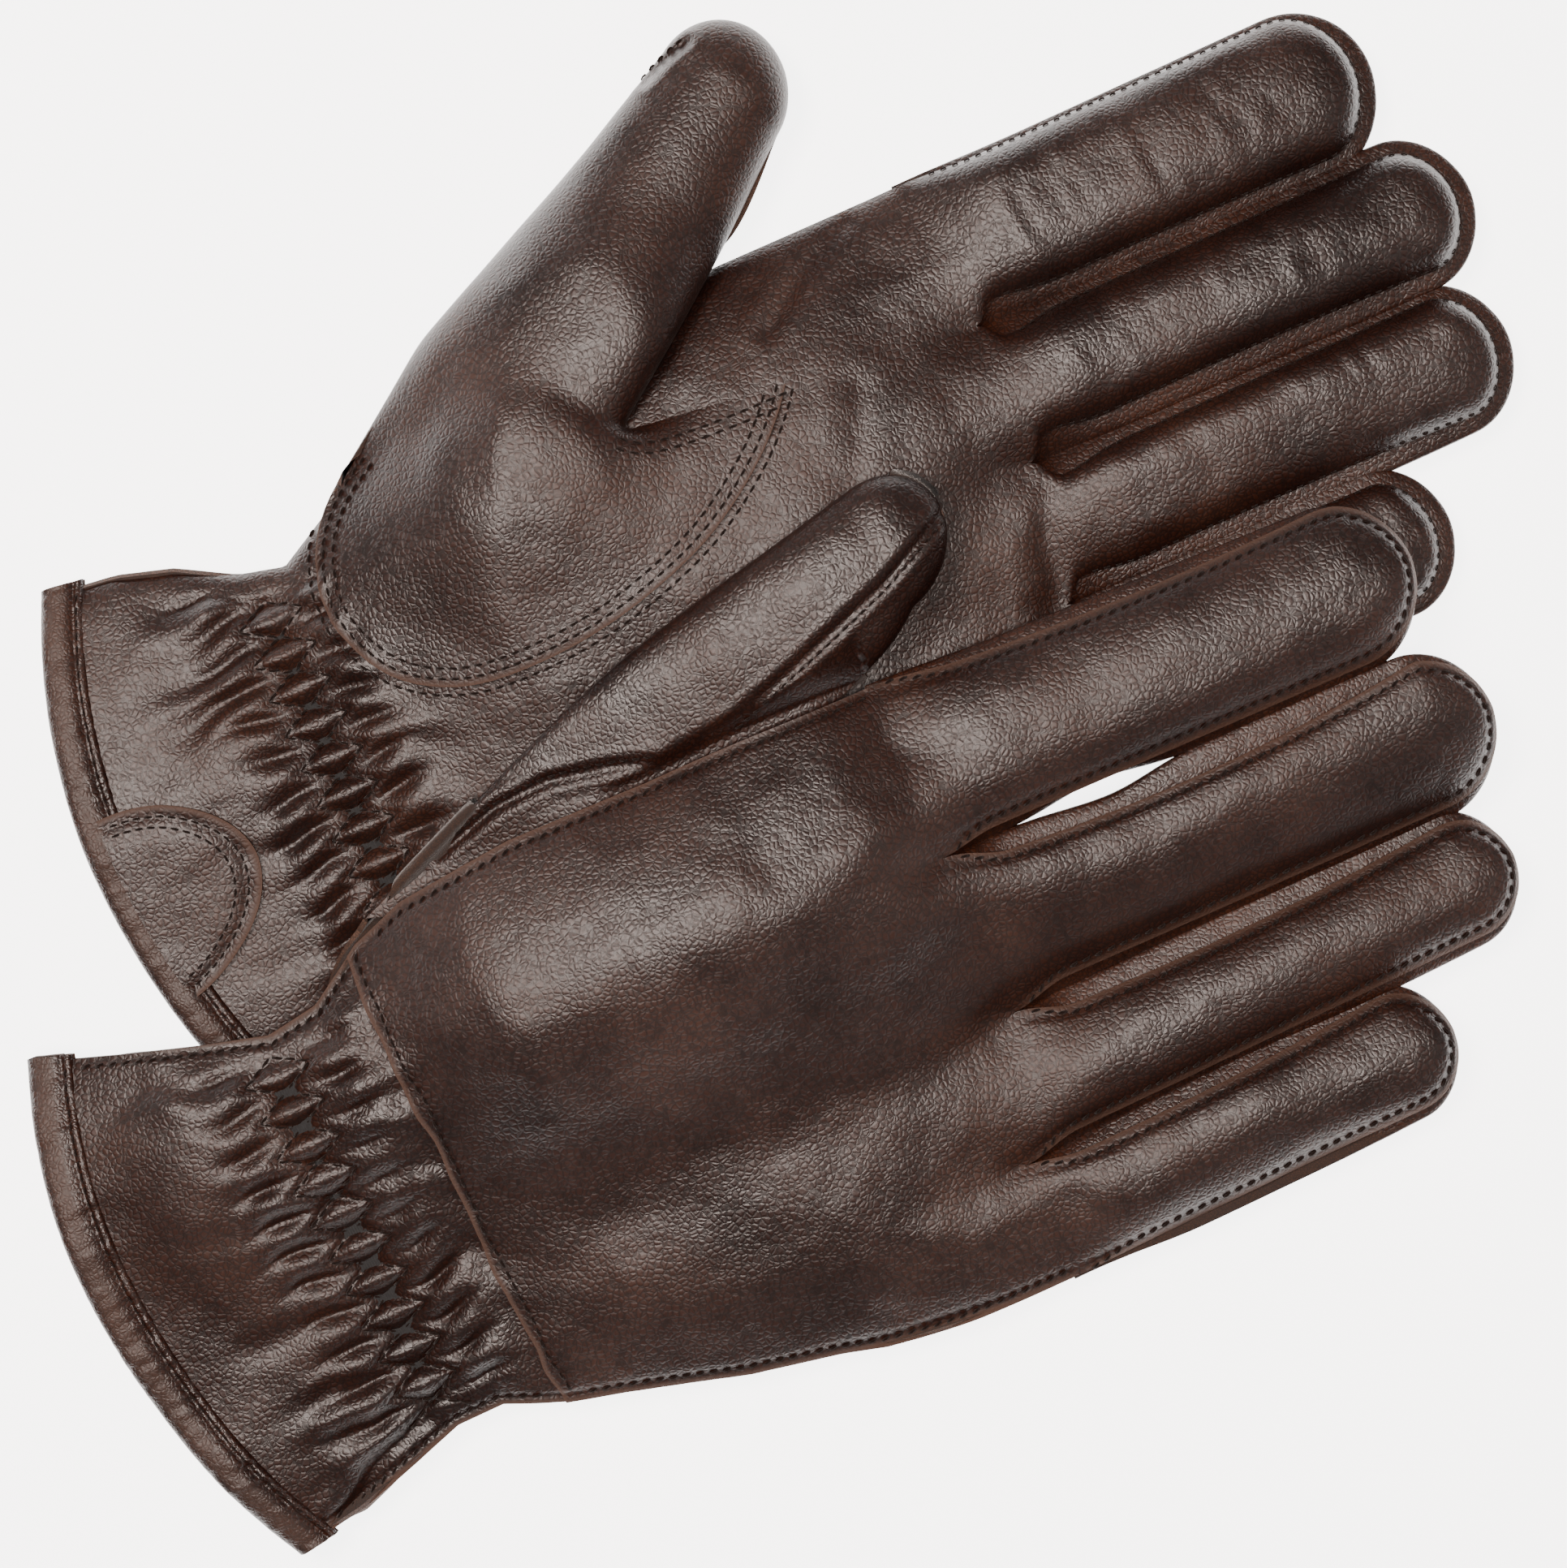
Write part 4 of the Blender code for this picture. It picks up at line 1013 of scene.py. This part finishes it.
def thumb_stitches(thumb, skin, under, rows, seams):
    """Two rows round the keystone, one beside its edge on the palm, and the thumb's seam."""
    glove = thumb.glove
    thread = Thread()
    tree = skin.tree()
    for inset in rows:
        thread.row(offset(thumb.keystone, inset), tree, pitch=2.2, length=1.6, radius=0.24)
    if glove.palm_up:
        thread.row(offset(thumb.keystone, 1.3), under, pitch=2.2, length=1.6, radius=0.24)
        for inset in rows:
            thread.row(offset(rounded(KEYSTONE_TOP, 2), -inset), tree, length=1.6, radius=0.24)
    for seam in seams:
        thread.row(offset(rounded(seam, 2), 1.0), tree, pitch=2.0, length=1.5, radius=0.2)
    sew(thread, glove, "thumb_stitches", "thumb")


def finger_stitches(glove, skin):
    """Stitch rows round the edge of every finger, small and half sunk where the seam is tucked."""
    tree = skin.tree()
    for finger in glove.fingers:
        thread = Thread()
        side, _, tip = glove.insets
        if glove.palm_up:
            path = finger_path(finger, side + 0.35, tip + 0.35, 6.0)
            thread.row(path, tree, pitch=2.1, length=1.2, radius=0.17)
        else:
            thread.row(finger_path(finger, side + ROW_INSET, side + ROW_INSET), tree, slant=0.35)
        sew(thread, glove, f"{finger.name}_stitches", finger.name)


# ------------------------------------------------------------------ thumbs
def curve(values, x):
    """Smooth curve through equally spaced values."""
    values = np.asarray(values, float)
    last = len(values) - 1
    i = np.clip(np.floor(x).astype(int), 0, last - 1)
    f = np.asarray(x) - i
    a, b, c, d = (values[np.clip(i + k, 0, last)] for k in (-1, 0, 1, 2))
    return b + 0.5 * f * (c - a + f * (2 * a - 5 * b + 4 * c - d + f * (3 * (b - c) + d - a)))


class Thumb:
    """A thumb as four cross-sections from its root to its tip, and the keystone at its root."""

    JOINT = 2.0

    def __init__(self, glove, shift, inner_top, outer, inner_bottom, heights, tip_half, blunt):
        self.glove = glove
        self.upper = glove.palm_up
        self.keystone = rounded(KEYSTONE, 2) + np.array(shift)
        self.inner_top = np.array(inner_top)
        self.outer = np.array(outer)
        self.inner_bottom = np.array(inner_bottom)
        self.rise, self.drop = heights
        self.tip_half = tip_half
        self.blunt = blunt

    def rail(self, points, station):
        """Point on one rail at a cross-section."""
        return np.stack([curve(points[:, k], station) for k in range(3)], -1)

    def section(self, station, p):
        """Point at p round a cross-section: 0 to 0.5 over the top, 0.5 to 1 underneath."""
        station, p = np.broadcast_arrays(np.asarray(station, float), np.asarray(p, float))
        over = p <= 0.5
        inner = np.where(over[..., None], self.rail(self.inner_top, station),
                         self.rail(self.inner_bottom, station))
        tau = np.where(over, 2.0 * p, 2.0 - 2.0 * p)
        reach = (1.0 - np.cos(math.pi * tau)) / 2.0
        point = lerp(inner, self.rail(self.outer, station), reach[..., None])
        height = np.where(over, curve(self.rise, station), -curve(self.drop, station))
        round_ = np.maximum(0.0, np.sin(math.pi * tau)) ** curve(self.blunt, station)
        point[..., 2] += height * round_
        return point

    def clear(self, u, v, z, over):
        """Height kept clear of the hand above and of what lies below."""
        if self.upper:
            return np.maximum(z, 0.05)
        glove = self.glove
        apart = 2.8
        edge = column(glove.outline, u, 2)
        ceiling = glove.bottom(u, np.minimum(v, edge)) - 0.9
        limit = ceiling + 1.2 * np.maximum(0.0, v - edge - 1.2)
        limited = np.minimum(z, np.where(over, limit, limit - apart))
        z = np.where(u < glove.knuckle + 2.0, limited, z)
        on_left = (u > LEFT.hem - 12.0) & (v > column(LEFT.outline, u, 1) - 2.5)
        floor = np.where(on_left, LEFT.top(u, v) + 0.6, 0.05)
        return np.maximum(z, floor + np.where(over, apart, 0.0))

    def skin_height(self, u, v):
        """Height of the keystone over the hand leather it is stitched to."""
        if self.upper:
            return face_height(self.glove, True, u, v) + 1.15
        return self.glove.bottom(u, v) - 1.9

    def outline(self, p):
        """Edge of the thumb leather: the keystone on the palm, the side seam on the back."""
        on_palm = (p <= 0.5) == self.upper
        f = np.clip(np.where(p <= 0.5, 2.0 * p, 2.0 - 2.0 * p), 0.0, 1.0)
        edge = along(self.keystone, f.ravel()).reshape(p.shape + (2,))
        palm = np.concatenate([edge, self.skin_height(edge[..., 0], edge[..., 1])[..., None]], -1)
        end = self.section(0.0, 0.5)
        inner = self.section(0.0, 1.0 if self.upper else 0.0)
        corner = self.keystone[-1]
        height = end[2] if self.upper else float(self.skin_height(*corner)) + 1.4
        corner = np.array([corner[0], corner[1], height])
        side = lerp(lerp(inner, corner, 0.25), corner, f[..., None])
        return np.where(on_palm[..., None], palm, side)

    def base(self, rows, columns):
        """Grid of points from the keystone to the thumb joint."""
        a, b = unit_grid(rows, columns)
        over = b <= 0.5
        start = 0.42
        station = self.JOINT * np.maximum(0.0, a - start) / (1.0 - start)
        tube = self.section(station, b)
        f = clamp(a / start)
        last = self.section(0.0, b)
        web = lerp(self.outline(b), last, f[..., None])
        u, v, z = web[..., 0], web[..., 1], web[..., 2]
        skin, end = self.skin_height(u, v), self.skin_height(last[..., 0], last[..., 1])
        swell = lerp(skin, skin + last[..., 2] - end, smooth(f))
        swell = np.maximum(swell, skin) if self.upper else np.minimum(swell, skin)
        web[..., 2] = np.where(over == self.upper, swell, z)
        grid = np.where((a >= start)[..., None], tube, web)
        for _ in range(60):
            grid[1:-1] = (grid[:-2] + 2.0 * grid[1:-1] + grid[2:]) / 4.0
        if not self.upper:
            apart = smooth((b - 0.5) / 0.06) * (1.0 - smooth((b - 0.62) / 0.15))
            grid[..., 2] -= 2.8 * apart * (1.0 - smooth((a - start) / 0.15))
        return a, over, grid

    def tip(self, rows, columns):
        """Grid of points from the joint to the rounded end of the thumb."""
        a, b = unit_grid(rows, columns)
        straight = 0.6
        station = self.JOINT + np.minimum(1.0, a / straight)
        point = self.section(station, b)
        inner, outer = self.section(station, 0.0), self.section(station, 0.5)
        lower, upper = self.section(station, 0.75), self.section(station, 0.25)
        centre = (inner + outer) / 2.0
        middle = (lower[..., 2] + upper[..., 2]) / 2.0
        turn = np.maximum(0.0, a - straight) / (1.0 - straight) * math.pi / 2.0
        cap = np.cos(turn)
        joined = smooth(a / 0.5)
        split = inner[..., 2] - self.section(station, 1.0)[..., 2]
        near = (1.0 + np.cos(2.0 * math.pi * b)) / 2.0
        closing = split / 2.0 * near * np.where(b <= 0.5, -1.0, 1.0) * joined
        across = outer[0, 0] - inner[0, 0]
        way = np.array([across[1], -across[0]]) / np.hypot(across[0], across[1])
        reach = self.tip_half * np.sin(turn)
        grid = np.empty_like(point)
        for k in range(2):
            spread = (point[..., k] - centre[..., k]) * cap
            grid[..., k] = centre[..., k] + spread + way[k] * reach
        grid[..., 2] = middle + (point[..., 2] + closing - middle) * cap
        return a, b <= 0.5, grid


def thumb_relief(u, v, seams):
    """Folds of the thumb leather, and the grooves of its seams."""
    total = 0.4 * noise(u / 15.0, v / 12.0, 31) + 0.16 * noise(u / 5.0, v / 5.0, 32)
    for seam in seams:
        total = total + crease(u, v, seam, 0.9, 0.8)
    return total


def thumb_piece(thumb, seams):
    """The thumb's leather in two pieces, one on the hand and one past the joint."""
    glove = thumb.glove
    skin = Skin()
    columns = 121
    grids = {}
    for group, part in (("hand", thumb.base(150, columns)), ("thumb", thumb.tip(84, columns))):
        a, over, grid = part
        u, v = grid[..., 0], grid[..., 1]
        folds = thumb_relief(u, v, seams) * np.where(over, 1.0, -0.5)
        near_edge = smooth(a / 0.06) if group == "hand" else 1.0
        outside = smooth((v - column(glove.outline, u, 2) - 0.5) / 2.5)
        folds = folds * near_edge * (1.0 if thumb.upper else outside)
        z = thumb.clear(u, v, grid[..., 2] + folds, over)
        edge = a * 110.0 if group == "hand" else 50.0
        worn = raw(edge) if thumb.upper else 0.0
        grids[group] = skin.add(u, v, z, group, wear=worn)
    end = grids["thumb"]
    skin.weld(grids["hand"][-1], end[0])
    skin.weld(np.full(columns - 1, end[-1, 0]), end[-1, 1:])
    names = {"hand": f"{glove.side}_thumb_keystone", "thumb": f"{glove.side}_thumb_end"}
    nodes = {"hand": f"{glove.side}_thumb_base", "thumb": f"{glove.side}_thumb_tip"}
    for group, made in skin.build(names, LEATHERS).items():
        settle(made, glove, group, [nodes[group]])
    return skin


LEFT_THUMB = Thumb(
    LEFT, (0.0, 0.0),
    ((0.0, 66.0, 17.6), (14.7, 76.6, 17.6), (30.3, 89.5, 10.2), (45.6, 102.6, 9.2)),
    ((-25.0, 95.0, 9.0), (-2.7, 105.4, 9.0), (13.7, 113.1, 8.8), (33.4, 123.4, 8.8)),
    ((0.0, 86.4, 5.0), (12.0, 87.6, 5.0), (30.3, 89.5, 8.0), (45.6, 102.6, 8.4)),
    ((9.5, 9.5, 9.6, 8.2), (4.0, 4.6, 7.0, 7.6)), 12.2, (1.0, 1.0, 1.0, 1.0))
RIGHT_THUMB = Thumb(
    RIGHT, RIGHT_SHIFT,
    ((-22.0, -9.0, 17.6), (-3.0, 2.5, 20.0), (24.4, 13.1, 21.8), (33.4, 18.8, 23.2)),
    ((-38.2, 22.5, 21.0), (-13.4, 31.0, 23.0), (17.6, 37.9, 24.0), (30.8, 40.8, 24.0)),
    ((-22.0, -9.0, 15.0), (-3.0, 2.5, 16.5), (24.4, 13.1, 20.8), (33.4, 18.8, 22.6)),
    ((2.5, 5.0, 6.6, 6.2), (2.0, 3.0, 5.4, 5.2)), 12.4, (0.6, 0.8, 1.0, 1.0))


# ------------------------------------------------------------------ bands and patches
MOON_RADIUS = 17.5
MOON_PLACE = 0.43
MOON_SPAN = 95.0
MOON_HEM = 3.0


def hem_band(glove, upper):
    """The folded band over the hem, with a ridge on each side of its stitch line."""
    profile = np.array(((6.6, -0.2), (6.2, 0.55), (5.5, 0.75), (4.9, 0.35), (4.2, 0.9), (3.0, 1.35),
                        (1.5, 1.45), (0.2, 1.2), (-0.8, 0.5), (-1.0, -0.5), (-0.8, -1.4),
                        (0.6, -1.8), (2.5, -1.9), (5.0, -1.9)))
    profile = rounded(profile, 2)
    q = np.linspace(0.0, 1.0, 221)
    rho, q = np.broadcast_arrays(glove.hem + profile[:, 0][:, None], q)
    u, v = glove.plan(rho, q, 0.9)
    wave = 0.22 * noise(v / 1.3, rho / 6.0, 41) + 0.3 * noise(v / 6.0, rho / 9.0, 42)
    rise = profile[:, 1][:, None]
    ruck = wave * smooth(rise + 0.5)
    sign = 1.0 if upper else -1.0
    z = face_height(glove, upper, u, v) + sign * rise + sign * ruck
    skin = Skin()
    skin.add(u, v, z, "hand", flip=upper, wear=0.35 * hump(rise, 1.4, 0.25))
    face = "upper" if upper else "lower"
    made = skin.build({"hand": f"{glove.side}_hem_band_{face}"}, (BINDING, CUT, SUEDE), 0.6)["hand"]
    settle(made, glove, "hand", [f"{glove.side}_hem_binding"] if upper else [])
    if upper:
        thread = Thread()
        path = np.column_stack(glove.plan(np.full(120, glove.hem + 5.2), np.linspace(0.01, 0.99, 120)))
        thread.row(path, skin.tree(), pitch=2.2, length=1.5, radius=0.2)
        sew(thread, glove, "hem_stitches")


def moon_plan(glove, turn, f):
    """Plan point of the half-moon patch at an angle, a fraction f of its radius out."""
    q = MOON_PLACE + f * MOON_RADIUS * np.cos(turn) / MOON_SPAN
    return glove.plan(glove.hem + MOON_HEM + f * MOON_RADIUS * np.sin(turn) * 1.05, q)


def half_moon(glove, upper):
    """The half-moon pull patch on the palm at the hem."""
    turn, f = np.meshgrid(np.linspace(0.0, math.pi, 70), np.linspace(0.0, 1.0, 30), indexing="ij")
    u, v = moon_plan(glove, turn, f)
    edge = (1.0 - f) * MOON_RADIUS
    rise = (1.25 + 0.35 * smooth(edge / 6.0)) - 0.45 * hump(edge, 1.9, 0.6)
    sign = 1.0 if upper else -1.0
    z = face_height(glove, upper, u, v) + sign * rise
    skin = Skin()
    skin.add(u, v, z, "hand", flip=not upper, wear=raw(edge))
    made = skin.build({"hand": f"{glove.side}_half_moon"}, LEATHERS)["hand"]
    settle(made, glove, "hand", [f"{glove.side}_half_moon_patch"])
    thread = Thread()
    for inset in (1.9, 3.6):
        at = (MOON_RADIUS - inset) / MOON_RADIUS
        arc = np.linspace(0.08, math.pi - 0.08, 60)
        path = np.column_stack(moon_plan(glove, arc, at))
        thread.row(path, skin.tree(), pitch=2.0, length=1.5, radius=0.22, up=upper)
    sew(thread, glove, "half_moon_stitches")


def draw_in(mesh, glove, digit):
    """Draws a lining in round the finger roots, where the leather folds when they bend."""
    place = np.empty(3 * len(mesh.vertices))
    mesh.vertices.foreach_get("co", place)
    place = place.reshape(-1, 3)
    u, v, z = place[:, 0] / MM + CENTRE[0], place[:, 1] / MM + CENTRE[1], place[:, 2] / MM
    lift = glove.lift(u, v)
    middle = (z - lift).mean() + lift
    if digit == "hand":
        middle = (glove.top(u, v) + glove.bottom(u, v)) / 2.0
    place[:, 2] = MM * (middle + (z - middle) * (1.0 - 0.3 * hump(u, glove.knuckle + 6.0, 26.0)))
    mesh.vertices.foreach_set("co", place.ravel())
    mesh.update()


def hidden(names, material, slot):
    """Inner pieces that keep the shape of the model, as copies."""
    for name in names:
        node_object = frame["nodes"][name]
        mesh = node_object.data.copy()
        mesh.materials.clear()
        mesh.materials.append(material)
        mesh.polygons.foreach_set("use_smooth", [True] * len(mesh.polygons))
        made = add_object(name + "_cloth", mesh)
        side, digit = name.split("_")[:2]
        glove = LEFT if side == "left" else RIGHT
        if slot == "lining" and digit != "thumb":
            draw_in(mesh, glove, digit)
        settle(made, glove, digit, [name])


SEAMS = {
    "left": (((28.0, 119.5), (33.0, 121.5), (37.5, 122.5)),),
    "right": (
        ((49.0, 33.5), (40.0, 29.0), (30.0, 24.0), (20.0, 20.5), (10.0, 17.0), (-3.0, 13.0)),
        ((-57.0, 13.0), (-45.0, 16.5), (-35.0, 17.0), (-25.0, 15.0), (-17.0, 12.5)))}


def build_gloves():
    """Every piece of both gloves."""
    skins = {glove.side: faces(glove) for glove in (LEFT, RIGHT)}
    cuff = cuff_back(RIGHT)
    elastic_stitches(LEFT, skins["left"])
    elastic_stitches(RIGHT, cuff)
    hand_stitches(RIGHT, skins["right"].tree(), cuff.tree())
    for glove in (LEFT, RIGHT):
        strips(glove)
        finger_stitches(glove, skins[glove.side])
        half_moon(glove, glove.palm_up)
        for upper in (True, False):
            hem_band(glove, upper)
    for thumb in (LEFT_THUMB, RIGHT_THUMB):
        seams = SEAMS[thumb.glove.side]
        skin = thumb_piece(thumb, seams)
        rows = (-1.4, -3.2) if thumb.upper else ()
        thumb_stitches(thumb, skin, skins[thumb.glove.side].tree(), rows, seams)
    hidden([n for n in frame["nodes"] if n.endswith("_lining")], LINING, "lining")
    hidden([n for n in frame["nodes"] if n.endswith("_elastic")], ELASTIC, "elastic")


# ------------------------------------------------------------------ camera and light
WARM = (1.0, 0.87, 0.8)


def area(name, place, size, power, colour):
    """A soft square light aimed at the middle of the gloves."""
    data = bpy.data.lights.new(name, "AREA")
    data.size = size
    data.energy = power
    data.color = colour
    made = add_object(name, data)
    made.location = place
    made.rotation_euler = (-Vector(place)).to_track_quat("-Z", "Y").to_euler()


def studio():
    """Pale floor, soft light and the camera."""
    mesh = bpy.data.meshes.new("floor")
    mesh.from_pydata([(-3, -3, 0), (3, -3, 0), (3, 3, 0), (-3, 3, 0)], [], [(0, 1, 2, 3)])
    floor = add_object("floor", mesh)
    paper = bpy.data.materials.new("paper")
    paper.use_nodes = True
    assign(paper.node_tree.nodes["Principled BSDF"], {
        "Base Color": grey(0.9), "Roughness": 0.9,
        "Emission Color": grey(1.0), "Emission Strength": 4.5})
    mesh.materials.append(paper)
    area("key", (-0.22, 0.28, 0.9), 0.32, 10.5, WARM)
    area("top", (-0.02, -0.06, 1.1), 0.17, 11.0, WARM)
    area("fill", (0.7, -0.5, 0.9), 0.8, 1.5, WARM)
    world = bpy.data.worlds.new("studio")
    world.use_nodes = True
    assign(world.node_tree.nodes["Background"], {"Color": WARM + (1.0,), "Strength": 0.16})
    bpy.context.scene.world = world
    lens = bpy.data.cameras.new("camera")
    lens.lens = 85.0
    lens.sensor_width = 36.0
    made = add_object("camera", lens)
    made.location = (-0.0031, -0.0136, 0.644)
    made.rotation_euler = (0.0, 0.0, math.radians(-24.0))
    bpy.context.scene.camera = made


build_gloves()
studio()
